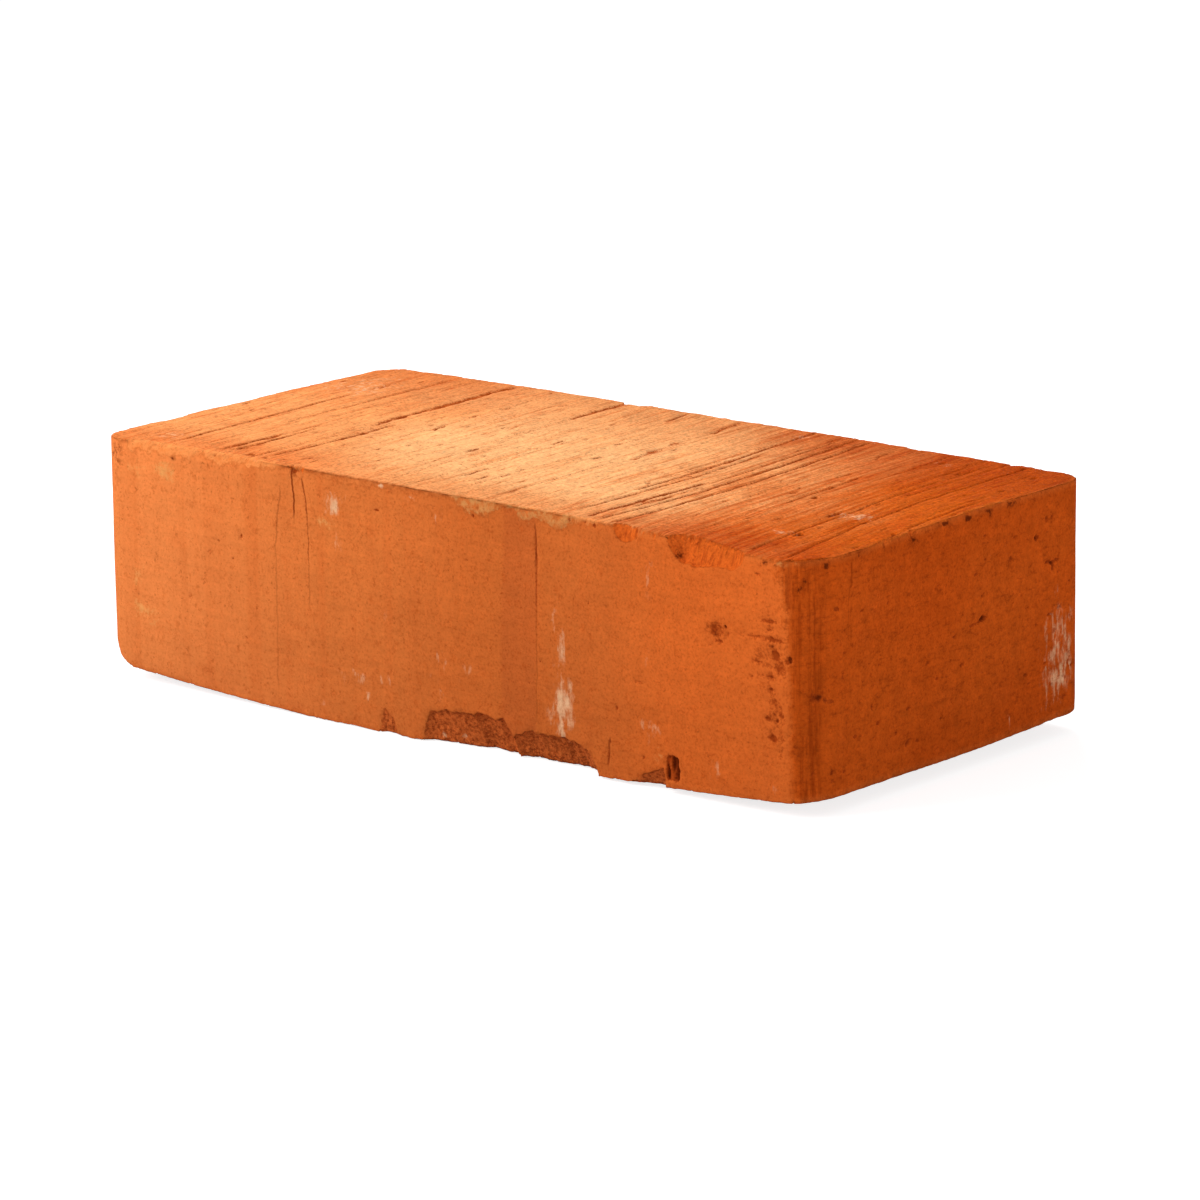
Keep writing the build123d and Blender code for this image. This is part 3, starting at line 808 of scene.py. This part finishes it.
def brick_skin():
    """Whole skin of the brick, as points in millimetres, quads and the marks that the finish reads.

    The plain brick is pressed in along its normals by its relief, then broken along its arrises and corners.
    """
    coarse = 1.0
    counts = [int(size / (coarse * cell)) | 1 for size, cell in zip((length, width, thickness), cell_sizes)]
    places, quads = box_skin(counts)
    points, normals, near_arris = plain_brick(places, counts)
    x, y, z = points.T.copy()
    faces = face_shares(normals)
    front = faces["front"]
    bed = np.maximum(faces["top"], faces["bottom"])

    hollow = hollow_relief(x, y, z, faces)
    crease = on_face(front, crease_relief, (x, z))
    hang = np.full(len(points), -smear_limit)
    over = -normals[:, 1] > 0.1
    hang[over] = np.clip(smear_reach(x[over], z[over]), -smear_limit, smear_limit)
    smear = ramp(hang, -0.4, 0.4) * ramp(-normals[:, 1], 0.1, 0.6)
    lumps = rough_noise((x, z), (1.8, 2.6), 2, 82)
    relief = even_relief(x, y, z, bed) + hollow + crease + front * flute_relief(x, z)
    relief = relief + front * smear_rise * (1 - smear * (0.75 + 0.5 * lumps))
    comb = rough_noise((x - y, z), (1.4, 7), 2, 9)
    relief = relief + ramp(near_arris, 0.1, 0.9) * (0.08 + 0.16 * front) * (1 + comb)
    points = points - normals * relief[:, None]

    around = wear_near_corner(points)
    broken = break_clay(points, x, y)
    low = np.array([-half_length, -half_width, 0.0])
    high = np.array([half_length, half_width, thickness])
    points = np.clip(points, low, high)

    left_x, right_x = (line_at(z, crease_line) for crease_line in flutes[1][:2])
    marks = {
        "bed": bed,
        # The finish paints shade into hollows and creases by this mark
        "hollow": np.minimum(hollow + 1.4 * crease, 1.5),
        "broken": ramp(broken, 0.1, 0.7),
        "worn": near_arris,
        "around": around,
        "hang": hang,
        # The finish paints the header darker, partly as shade, by this mark
        "header": np.maximum(ramp(normals[:, 0], 0.15, 0.5), 0.45 * ramp(-normals[:, 0], 0.6, 0.98)),
        "dull": front * ramp(x, left_x - 0.4, left_x + 0.5) * ramp(x, right_x + 0.6, right_x - 0.3),
        **stain_and_shade_marks(x, y, z, faces, normals),
    }
    return points, quads, marks


def mesh_values(items, name, count=3, kind=np.float32):
    """Values of a mesh's items as an array: a row of so many for each item, or plain numbers for one."""
    values = np.empty(count * len(items), kind)
    items.foreach_get(name, values)
    return values.reshape(-1, count) if count > 1 else values


def thinned(mesh, limit):
    """The mesh with its flattest edges collapsed to the limit of triangles, kept inside the brick's box."""
    triangles = 2 * len(mesh.polygons)
    dense = bpy.data.objects.new("dense", mesh)
    bpy.context.scene.collection.objects.link(dense)
    collapse = dense.modifiers.new("collapse", "DECIMATE")
    collapse.ratio = min(1.0, limit / triangles)
    shown = dense.evaluated_get(bpy.context.evaluated_depsgraph_get())
    thin = bpy.data.meshes.new_from_object(shown)
    bpy.data.objects.remove(dense)
    bpy.data.meshes.remove(mesh)
    inside = np.clip(mesh_values(thin.vertices, "co"), np.array(low_corner), np.array(high_corner))
    thin.vertices.foreach_set("co", inside.astype(np.float32).ravel())
    return thin


def skin_mesh(points, quads, marks):
    """Mesh in metres from points and quads, with each mark as a value of its vertices."""
    mesh = bpy.data.meshes.new("brick_skin_dense")
    mesh.vertices.add(len(points))
    mesh.vertices.foreach_set("co", (points * MM).astype(np.float32).ravel())
    mesh.loops.add(quads.size)
    mesh.loops.foreach_set("vertex_index", quads.astype(np.int32).ravel())
    mesh.polygons.add(len(quads))
    mesh.polygons.foreach_set("loop_start", np.arange(0, quads.size, 4, dtype=np.int32))
    mesh.update(calc_edges=True)
    for name, values in marks.items():
        mark = mesh.attributes.new(name, "FLOAT", "POINT")
        mark.data.foreach_set("value", values.astype(np.float32))
    return mesh


def add_charts(mesh):
    """Flat charts for baking: each face goes to the side of the box it lies nearest, laid out on a square.

    The beds and the stretchers stand in a column, the headers beside them, with a gap between neighbours.
    """
    gap = 3.0
    square = 2 * (width + thickness) + 5 * gap
    centres = mesh_values(mesh.polygons, "center") / MM - (0, 0, thickness / 2)
    facing = np.abs(mesh_values(mesh.polygons, "normal"))
    depth = np.abs(centres) - (half_length, half_width, thickness / 2) + 3 * facing
    axis = depth.argmax(1)
    far = np.take_along_axis(centres, axis[:, None], 1)[:, 0] > 0
    corners = mesh_values(mesh.loops, "vertex_index", 1, np.int32)
    places = mesh_values(mesh.vertices, "co")[corners] / MM + (half_length, half_width, 0)
    sizes = mesh_values(mesh.polygons, "loop_total", 1, np.int32)
    axis, far = np.repeat(axis, sizes), np.repeat(far, sizes)
    across = np.where(axis == 0, places[:, 1], places[:, 0])
    up = np.where(axis == 2, places[:, 1], places[:, 2])
    start_across = np.where(axis == 0, length + 2 * gap, gap)
    step = np.where(axis == 2, width, thickness) + gap
    start_up = gap + np.where(axis == 1, 2 * (width + gap), 0) + far * step
    charts = np.stack([across + start_across, up + start_up], 1) / square
    layer = mesh.uv_layers.new(name="OFBake")
    layer.data.foreach_set("uv", charts.astype(np.float32).ravel())


points, quads, marks = brick_skin()
skin = thinned(skin_mesh(points, quads, marks), triangle_limit)
skin.name = "brick_skin"
skin.shade_smooth()
add_charts(skin)
brick_skin_piece = bpy.data.objects.new("brick_skin", skin)
bpy.context.scene.collection.objects.link(brick_skin_piece)


def linear(red, green, blue):
    """Colour as a screen shows it, 0 to 255, turned into light, with an alpha of 1."""
    shares = np.array([red, green, blue]) / 255
    light = np.where(shares <= 0.04045, shares / 12.92, ((shares + 0.055) / 1.055) ** 2.4)
    return (*light.tolist(), 1.0)


class Finish:
    """A material's nodes, added one by one; each method that adds one returns the new node's output."""

    def __init__(self, name):
        self.material = bpy.data.materials.new(name)
        self.material.use_nodes = True
        self.tree = self.material.node_tree
        self.shader = self.tree.nodes["Principled BSDF"]
        self.place = self.scaled(self.add("ShaderNodeTexCoord").outputs["Object"], 1 / MM)

    def add(self, kind, inputs=None, **settings):
        """New node of a kind, with its settings and its inputs."""
        node = self.tree.nodes.new(kind)
        for name, value in settings.items():
            setattr(node, name, value)
        self.fill(node, inputs or {})
        return node

    def fill(self, node, inputs):
        """Links a node's inputs to outputs of others, or sets them to plain values."""
        for name, value in inputs.items():
            if isinstance(value, bpy.types.NodeSocket):
                self.tree.links.new(value, node.inputs[name])
            else:
                node.inputs[name].default_value = value

    def axes(self):
        """X, Y and Z of the place, in millimetres."""
        return self.add("ShaderNodeSeparateXYZ", {0: self.place}).outputs

    def scaled(self, vector, share):
        """Colour or place times a share."""
        return self.add("ShaderNodeVectorMath", {0: vector, "Scale": share}, operation="SCALE").outputs[0]

    def stretched(self, per_mm, place=None):
        """Place with each axis times its own number."""
        place = self.place if place is None else place
        return self.add("ShaderNodeVectorMath", {0: place, 1: per_mm}, operation="MULTIPLY").outputs[0]

    def leaned(self, per_mm):
        """Place for marks along the wire's path: X moved by the lean times Y, then stretched."""
        x, y, z = self.axes()
        moved_x = self.math("ADD", x, self.math("MULTIPLY", y, wire_lean))
        return self.stretched(per_mm, self.add("ShaderNodeCombineXYZ", {0: moved_x, 1: y, 2: z}).outputs[0])

    def math(self, operation, first, second):
        """Result of an operation on two numbers."""
        return self.add("ShaderNodeMath", {0: first, 1: second}, operation=operation).outputs[0]

    def both(self, first, *others):
        """Product of shares."""
        for other in others:
            first = self.math("MULTIPLY", first, other)
        return first

    def about_one(self, noise, strength, share=1.0):
        """Factor that swings about 1 with a noise, by a strength, where the share is 1."""
        swing = self.math("MULTIPLY", self.math("SUBTRACT", noise, 0.5), strength)
        return self.math("ADD", self.math("MULTIPLY", swing, share), 1.0)

    def ramp(self, value, start, end, low=0.0, high=1.0):
        """Smooth step from a low number at the start to a high one at the end."""
        inputs = {"Value": value, "From Min": start, "From Max": end, "To Min": low, "To Max": high}
        return self.add("ShaderNodeMapRange", inputs, interpolation_type="SMOOTHSTEP").outputs["Result"]

    def stirred(self, value, noise, start, end, swing_low, swing_high):
        """Value with a noise added, which is carried from its start and end to a low and a high swing."""
        return self.math("ADD", value, self.ramp(noise, start, end, swing_low, swing_high))

    def noise(self, place, scale, detail=3.0, roughness=0.5, warp=0.0):
        """Cloudy noise from 0 to 1, with so many cells to a millimetre of the place."""
        inputs = {"Vector": place, "Scale": scale, "Detail": detail, "Roughness": roughness}
        inputs["Distortion"] = warp
        return self.add("ShaderNodeTexNoise", inputs).outputs["Fac"]

    def mark(self, name):
        """Mark that the skin carries at its vertices."""
        return self.add("ShaderNodeAttribute", attribute_name=name).outputs["Fac"]

    def crack(self, foot, head, crack_width):
        """Share of a thin crack in the front face: near a line from foot to head, (x, z), bent by noise."""
        x, y, z = self.axes()
        lean = (head[0] - foot[0]) / (head[1] - foot[1])
        line = self.math("ADD", self.math("MULTIPLY", z, lean), foot[0] - lean * foot[1])
        wobble = self.noise(self.stretched((0.0, 0.0, 1.0)), 0.14, 4, 0.55)
        line = self.stirred(line, wobble, 0.2, 0.8, -0.6, 0.6)
        apart = self.math("ABSOLUTE", self.math("SUBTRACT", x, line), 0.0)
        ends = self.both(self.ramp(z, foot[1] - 1, foot[1] + 3), self.ramp(z, head[1] + 1, head[1] - 1))
        return self.both(self.ramp(apart, crack_width, 0.3 * crack_width), ends, self.ramp(y, -58.0, -58.8))

    def mix(self, share, first, second, blend="MIX"):
        """Colour between two, or the first with the second blended in, by a share."""
        inputs = {"Factor": share, 6: first, 7: second}
        return self.add("ShaderNodeMix", inputs, data_type="RGBA", blend_type=blend).outputs[2]

    def tinted(self, colour, tone, *shares, blend="MIX"):
        """Colour brought towards a tone, as a screen shows it, by the product of shares."""
        return self.mix(self.both(*shares), colour, linear(*tone), blend)

    def bump(self, height, depth, normal=None):
        """Normal leaned by a height of this depth in millimetres, over another normal if there is one."""
        inputs = {"Distance": depth * MM, "Height": height}
        if normal is not None:
            inputs["Normal"] = normal
        return self.add("ShaderNodeBump", inputs).outputs["Normal"]


def side_colour(clay, cloud):
    """Colour of the sides: pale to brown to orange along X, the pale left end partly painted light, darker at
    the header and near corner partly as painted shade, and darker at the foot.
    """
    x, y, z = clay.axes()
    die = clay.noise(clay.stretched((1.0, 1.0, 0.015)), 0.16, 3, 0.6)
    # Paler towards the left end: partly painted light from the left front
    colour = clay.mix(clay.ramp(x, -120, -20), linear(229, 130, 68), linear(210, 112, 52))
    colour = clay.tinted(colour, (201, 102, 44), clay.ramp(x, -25, 15))
    colour = clay.tinted(colour, (216, 103, 40), clay.ramp(x, 45, 90))
    colour = clay.tinted(colour, (204, 96, 39), clay.ramp(die, 0.45, 0.75, 0.0, 0.35))
    colour = clay.tinted(colour, (190, 92, 41), clay.mark("dull"), 0.6)
    # Deeper, darker header: partly painted shade on the face turned away from the lamps
    end = clay.mix(clay.ramp(cloud, 0.35, 0.65), linear(191, 76, 17), linear(198, 83, 21))
    colour = clay.mix(clay.mark("header"), colour, end)
    ragged = clay.noise(clay.place, 0.35, 4, 0.65)
    around = clay.stirred(clay.mark("around"), ragged, 0.3, 0.7, -0.07, 0.07)
    stripes = clay.noise(clay.stretched((1.0, 1.0, 0.02)), 0.9, 3, 0.6)
    # Dark stripes round the near corner: partly painted shade where the corner turns towards the header
    corner_stripes_and_shade = clay.mix(clay.ramp(stripes, 0.4, 0.64), linear(196, 81, 20), linear(158, 59, 11))
    strip = clay.both(clay.ramp(around, 0.02, 0.16), clay.ramp(around, 0.7, 0.42, 0.0, 0.8))
    colour = clay.mix(strip, colour, corner_stripes_and_shade)
    return clay.scaled(colour, clay.ramp(z, 4, 60, 0.91, 1.03))


def bed_colour(clay, cloud):
    """Colour of the beds: orange at the right and below, palest left of the middle partly as a painted
    highlight, with wire threads, and painted shade over the rear half and along the front edge.
    """
    x, y, z = clay.axes()
    streak = clay.noise(clay.leaned((1.0, 0.04, 0.0)), 0.75, 4, 0.6)
    thread = clay.noise(clay.leaned((1.0, 0.05, 0.0)), 1.9, 4, 0.65)
    gaps = clay.noise(clay.leaned((0.5, 0.1, 0.0)), 0.8, 3, 0.6)
    sand = clay.noise(clay.place, 1.1, 4, 0.8)
    drift = clay.stirred(x, streak, 0.2, 0.8, -16, 16)
    drift = clay.stirred(drift, cloud, 0.2, 0.8, -18, 18)
    drift = clay.math("ADD", drift, clay.math("MULTIPLY", y, 0.25))
    # Pale left of the middle: partly dry clay, partly a painted highlight
    colour = clay.mix(clay.ramp(drift, 105, 25), linear(205, 92, 18), linear(238, 154, 91))
    dry_and_highlight = clay.both(clay.ramp(drift, -85, -30), clay.ramp(drift, 62, 10, 0.0, 0.9))
    colour = clay.tinted(colour, (252, 187, 126), dry_and_highlight)
    colour = clay.tinted(colour, (216, 106, 46), clay.ramp(z, 45, 20, 0.0, 0.8))
    colour = clay.tinted(colour, (230, 188, 156), clay.ramp(streak, 0.45, 0.72, 0.0, 0.75), blend="MULTIPLY")
    lines = clay.both(clay.ramp(thread, 0.54, 0.63), clay.ramp(gaps, 0.46, 0.62))
    sandy = clay.ramp(sand, 0.38, 0.56, 0.35, 1.0)
    colour = clay.tinted(colour, (206, 146, 100), lines, sandy, blend="MULTIPLY")
    # Painted shade: darker over the rear half and along the front edge, and towards the rear
    bed_edge_shade = clay.math("MAXIMUM", clay.ramp(y, 0, 56), clay.ramp(y, -34, -54))
    colour = clay.tinted(colour, (240, 218, 202), bed_edge_shade, blend="MULTIPLY")
    far = clay.ramp(y, 60, -10, 0.9, 1.03)
    return clay.scaled(colour, clay.both(far, clay.about_one(gaps, 0.3), clay.about_one(sand, 0.55)))


def torn_colour(clay):
    """Colour of broken clay: granular brown on the lower arrises, fluted orange on the upper ones."""
    crumb = clay.noise(clay.place, 0.9, 4, 0.75)
    flute = clay.noise(clay.stretched((1.0, 1.0, 0.15)), 0.8, 3, 0.6)
    low = clay.mix(clay.ramp(crumb, 0.4, 0.66), linear(204, 101, 46), linear(138, 56, 20))
    high = clay.mix(clay.ramp(flute, 0.42, 0.7), linear(226, 102, 33), linear(180, 72, 21))
    return clay.mix(clay.ramp(clay.axes()["Z"], 35, 55), low, high)


def lip_colour(clay, grit):
    """Colour of the clay smeared over the upper front arris: pale orange at the left, beige in the middle."""
    x = clay.axes()["X"]
    pale = clay.mix(clay.ramp(grit, 0.45, 0.75), linear(236, 146, 80), linear(224, 124, 60))
    beige = clay.mix(clay.ramp(grit, 0.4, 0.62), linear(210, 146, 84), linear(198, 112, 54))
    return clay.mix(clay.both(clay.ramp(x, 3, 8), clay.ramp(x, 50, 46)), pale, beige)


def arris_colour(clay, colour, grit):
    """Colour along the arrises: worn paler, brown at the foot and the brim, and the smeared lip in front,
    with a painted shadow under its edge.
    """
    x, y, z = clay.axes()
    worn, hang = clay.mark("worn"), clay.mark("hang")
    colour = clay.tinted(colour, (214, 114, 52), clay.ramp(worn, 0.3, 1.0, 0.0, 0.3))
    colour = clay.tinted(colour, (150, 66, 22), clay.ramp(worn, 0.6, 0.95), clay.ramp(z, 12, 7, 0.0, 0.5))
    brim = clay.both(clay.ramp(worn, 0.55, 0.9), clay.ramp(x, -54, -46), clay.ramp(x, 50, 44))
    brim = clay.both(brim, clay.ramp(y, -50, -58), clay.ramp(z, 50, 60))
    colour = clay.tinted(colour, (170, 80, 32), brim, clay.ramp(grit, 0.35, 0.6, 0.2, 0.7))
    shreds = clay.noise(clay.place, 0.4, 4, 0.6)
    frayed = clay.stirred(hang, shreds, 0.25, 0.75, -1.2, 1.2)
    # Painted shadow: a dark band just under the frayed lower edge of the smeared lip
    under = clay.both(clay.ramp(frayed, -1.0, -0.1), clay.ramp(frayed, 0.7, 0.0), clay.ramp(z, 50, 58))
    under = clay.both(under, clay.ramp(x, 62, 56, 0.0, 0.4), clay.ramp(grit, 0.35, 0.6))
    colour = clay.tinted(colour, (166, 76, 28), under)
    lip = clay.both(clay.ramp(frayed, -0.4, 0.7), clay.ramp(x, 62, 56), clay.ramp(grit, 0.3, 0.55, 1.0, 0.6))
    ends = clay.math("MAXIMUM", clay.ramp(x, -50, -62), clay.ramp(x, 2, 8))
    return clay.mix(clay.both(lip, clay.ramp(ends, 0.0, 1.0, 0.15, 0.8)), colour, lip_colour(clay, grit))


def damaged_colour(clay, colour, bed, grain, grit):
    """Colour with beige patches, broken clay with a painted shadow along its upper edges, painted shade in
    hollows, dark smudges that are partly painted shade, cracks and lime.
    """
    z = clay.axes()["Z"]
    marks = ("hollow", "broken", "worn", "lime", "beige", "smudge_and_shade")
    hollow, broken, worn, lime, beige, smudge_and_shade = (clay.mark(name) for name in marks)
    chalk = clay.ramp(clay.stirred(beige, grit, 0.3, 0.7, -0.3, 0.3), 0.1, 0.8)
    colour = clay.tinted(colour, (218, 150, 84), chalk, clay.ramp(beige, 0.02, 0.15, 0.0, 0.8))
    colour = clay.mix(clay.ramp(broken, 0.1, 0.7, 0.0, 0.9), colour, torn_colour(clay))
    # Painted shadow: a dark line along the upper edges of the breaks
    break_edge_shadow = clay.both(clay.ramp(broken, 0.02, 0.3), clay.ramp(broken, 0.95, 0.5))
    break_edge_shadow = clay.both(break_edge_shadow, clay.ramp(grit, 0.35, 0.65, 0.0, 0.8), clay.ramp(z, 58, 48, 0.45, 1.0))
    colour = clay.tinted(colour, (144, 60, 19), break_edge_shadow, clay.ramp(worn, 0.6, 0.3))
    # Painted shade in hollows and creases, darkest where they are deepest
    deep = clay.stirred(hollow, grain, 0.3, 0.7, -0.12, 0.12)
    shaded = clay.mix(bed, linear(156, 61, 17), linear(178, 76, 20))
    shade = clay.both(clay.ramp(deep, 0.06, 0.5, 0.0, 0.9), clay.ramp(hollow, 0.02, 0.12))
    colour = clay.mix(shade, colour, shaded)
    deepest = clay.mix(bed, linear(100, 34, 8), linear(154, 60, 14))
    colour = clay.mix(clay.ramp(deep, 0.5, 1.1, 0.0, 0.9), colour, deepest)
    # Dark smudges, partly painted shade in the ends of scoops, in bites along the arrises and round pits
    smudge_and_shade_share = clay.ramp(clay.stirred(smudge_and_shade, grit, 0.3, 0.7, -0.35, 0.35), 0.1, 0.9)
    colour = clay.tinted(colour, (128, 47, 11), smudge_and_shade_share, clay.ramp(smudge_and_shade, 0.02, 0.15, 0.0, 0.85))
    colour = clay.tinted(colour, (84, 28, 7), clay.ramp(smudge_and_shade_share, 0.6, 1.0, 0.0, 0.7))
    for foot, head, crack_width, strength in front_cracks:
        colour = clay.tinted(colour, (124, 46, 14), clay.crack(foot, head, crack_width), strength)
    wash = clay.noise(clay.stretched((1.0, 1.0, 0.35)), 0.6, 4, 0.65)
    white = clay.ramp(clay.stirred(lime, wash, 0.3, 0.7, -0.6, 0.3), 0.0, 1.1)
    return clay.tinted(colour, (234, 190, 148), white, clay.ramp(lime, 0.02, 0.15, 0.0, 0.8))


def fired_clay():
    """Fired clay: mottled orange, paler on the beds partly as a painted highlight, with painted shade in its
    hollows, and granular where it is broken.
    """
    clay = Finish("fired_clay")
    bed, broken, header = clay.mark("bed"), clay.mark("broken"), clay.mark("header")
    cloud = clay.noise(clay.place, 0.02, 3)
    mottle = clay.noise(clay.place, 0.1, 4, 0.6)
    grain = clay.noise(clay.place, 1.4, 4, 0.62)
    grit = clay.noise(clay.place, 0.55, 4, 0.7)
    ripple = clay.noise(clay.stretched((0.03, 0.03, 1.0)), 0.9, 2, 0.5)
    drag = clay.noise(clay.leaned((1.0, 0.025, 0.0)), 1.1, 4, 0.65)

    colour = clay.mix(bed, side_colour(clay, cloud), bed_colour(clay, cloud))
    colour = clay.tinted(colour, (196, 84, 30), clay.ramp(mottle, 0.5, 0.8, 0.0, 0.2))
    colour = arris_colour(clay, colour, grit)
    colour = damaged_colour(clay, colour, bed, grain, grit)

    # Grain of the clay: scuffs on the header, pores, dashes and crumbs on the beds, and speckle
    scuff = clay.noise(clay.stretched((1.0, 1.0, 2.2)), 0.3, 5, 0.7)
    colour = clay.tinted(colour, (134, 47, 9), clay.ramp(scuff, 0.5, 0.75), header, 0.65)
    pores = clay.noise(clay.place, 0.8, 2, 0.6)
    colour = clay.tinted(colour, (146, 56, 15), clay.ramp(pores, 0.64, 0.74, 0.0, 0.4))
    dashes = clay.noise(clay.leaned((1.0, 0.3, 0.0)), 0.8, 4, 0.65)
    colour = clay.tinted(colour, (176, 74, 22), clay.ramp(dashes, 0.6, 0.7), bed, 0.65)
    crumbs = clay.noise(clay.place, 0.42, 5, 0.75)
    colour = clay.tinted(colour, (196, 96, 38), clay.ramp(crumbs, 0.56, 0.72), bed, 0.6)
    sand = clay.ramp(clay.noise(clay.place, 1.1, 2, 0.6), 0.4, 0.3, 0.0, 0.18)
    colour = clay.scaled(colour, clay.math("ADD", clay.both(bed, sand), 1.0))
    smudge = clay.noise(clay.stretched((1.0, 1.0, 1.6)), 0.045, 5, 0.6, 0.6)
    patches = clay.noise(clay.stretched((1.0, 1.0, 0.6)), 0.2, 4, 0.65)
    coarser = clay.ramp(clay.axes()["X"], -100, 20, 0.9, 1.5)
    grainy = clay.ramp(grain, 0.48, 0.8, 0.0, 0.4)
    colour = clay.tinted(colour, (222, 180, 150), grainy, coarser, blend="MULTIPLY")
    speckle = clay.both(clay.about_one(smudge, 0.25), clay.about_one(ripple, 0.16), 1.03)
    for noise, strength, share in (
        (grain, -0.25, coarser), (grit, 0.2, coarser), (patches, 0.14, coarser), (patches, 0.25, header),
        (grit, 0.4, header), (pores, 0.7, bed), (grain, -0.5, bed), (patches, 0.4, bed),
    ):
        speckle = clay.both(speckle, clay.about_one(noise, strength, share))

    relief = None
    for height, depth in (
        (grain, 0.09), (clay.both(drag, bed), 0.2), (clay.both(crumbs, bed), 0.5), (ripple, 0.05),
        (clay.both(grit, broken), 0.6),
    ):
        relief = clay.bump(height, depth, relief)
    clay.fill(clay.shader, {
        "Base Color": clay.scaled(colour, speckle),
        "Roughness": clay.ramp(grain, 0.2, 0.8, 0.75, 0.9),
        "Specular IOR Level": 0.01,
        "Normal": relief,
    })
    return clay.material


skin.materials.append(fired_clay())
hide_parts("brick")
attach(brick_skin_piece, "root")


def seen_directly(tree):
    """Share that is 1 where a thing is seen, straight, reflected or through glass, and 0 for its light."""
    path = tree.nodes.new("ShaderNodeLightPath")
    share = path.outputs["Is Camera Ray"]
    for name in ("Is Glossy Ray", "Is Transmission Ray"):
        either = tree.nodes.new("ShaderNodeMath")
        either.operation = "MAXIMUM"
        tree.links.new(share, either.inputs[0])
        tree.links.new(path.outputs[name], either.inputs[1])
        share = either.outputs[0]
    return share


# Stage: how far the floor reaches in metres, its glow to the camera, and the world's light and looks
floor_reach = 8.0
floor_glow = 0.78
world_light = 0.5
world_seen = 1.0


def pale_floor():
    """Plain pale floor, white to the camera with the shadow left in, and a plain grey to the light."""
    floor = Finish("floor")
    plain = floor.shader.outputs[0]
    floor.fill(floor.shader, {
        "Base Color": linear(190, 190, 190),
        "Roughness": 0.9,
        "Specular IOR Level": 0.0,
    })
    glow = floor.add("ShaderNodeEmission", {"Color": (1, 1, 1, 1), "Strength": floor_glow}).outputs[0]
    bright = floor.add("ShaderNodeAddShader", {0: plain, 1: glow}).outputs[0]
    inputs = {0: seen_directly(floor.tree), 1: plain, 2: bright}
    seen = floor.add("ShaderNodeMixShader", inputs).outputs[0]
    floor.fill(floor.tree.nodes["Material Output"], {"Surface": seen})
    return floor.material


floor_mesh = bpy.data.meshes.new("floor")
floor_mesh.from_pydata(
    [(sx * floor_reach, sy * floor_reach, low_corner.z) for sx, sy in ((-1, -1), (1, -1), (1, 1), (-1, 1))],
    [],
    [(0, 1, 2, 3)],
)
floor_mesh.materials.append(pale_floor())
floor = bpy.data.objects.new("floor", floor_mesh)
bpy.context.scene.collection.objects.link(floor)


def soft_lamp(name, place, aim, size, watts):
    """Square soft lamp at a place, facing a point."""
    lamp = bpy.data.lights.new(name, "AREA")
    lamp.size = size
    lamp.energy = watts
    holder = bpy.data.objects.new(name, lamp)
    holder.location = place
    holder.rotation_euler = (Vector(aim) - Vector(place)).to_track_quat("-Z", "Y").to_euler()
    bpy.context.scene.collection.objects.link(holder)


middle = (0, 0, thickness / 2 * MM)
soft_lamp("back_left", (-0.35, 0.35, 0.5), (-0.03, 0, 0.06), 0.35, 2.6)
soft_lamp("left_front", (-0.55, -0.75, 0.55), middle, 0.6, 7.4)
soft_lamp("right_fill", (0.9, -0.2, 0.15), middle, 0.4, 2.0)

world = bpy.data.worlds.new("studio")
world.use_nodes = True
bpy.context.scene.world = world
sky = world.node_tree.nodes["Background"]
sky.inputs["Color"].default_value = (1, 1, 1, 1)
level = world.node_tree.nodes.new("ShaderNodeMapRange")
level.inputs["To Min"].default_value = world_light
level.inputs["To Max"].default_value = world_seen
world.node_tree.links.new(seen_directly(world.node_tree), level.inputs["Value"])
world.node_tree.links.new(level.outputs["Result"], sky.inputs["Strength"])

# Camera: where it looks, from which side, how far off and with which lens
aim_point = Vector((7.9, -2.86, 29.82)) * MM
azimuth = math.radians(40.459)
elevation = math.radians(13.635)
roll = math.radians(-0.696)
distance = 1608.9 * MM
focal_pixels = 5959.7
frame_pixels = 1200
back = Vector((
    math.sin(azimuth) * math.cos(elevation),
    -math.cos(azimuth) * math.cos(elevation),
    math.sin(elevation),
))
right_hand = Vector((0, 0, 1)).cross(back).normalized()
upright = back.cross(right_hand)
turned_right = right_hand * math.cos(roll) + upright * math.sin(roll)
turned_up = upright * math.cos(roll) - right_hand * math.sin(roll)
lens = bpy.data.cameras.new("camera")
lens.sensor_width = 36.0
lens.lens = focal_pixels / frame_pixels * lens.sensor_width
camera = bpy.data.objects.new("camera", lens)
camera.matrix_world = Matrix.Translation(aim_point + back * distance) @ Matrix(
    (turned_right, turned_up, back)
).transposed().to_4x4()
bpy.context.scene.collection.objects.link(camera)
bpy.context.scene.camera = camera
bpy.context.scene.view_settings.view_transform = "Standard"
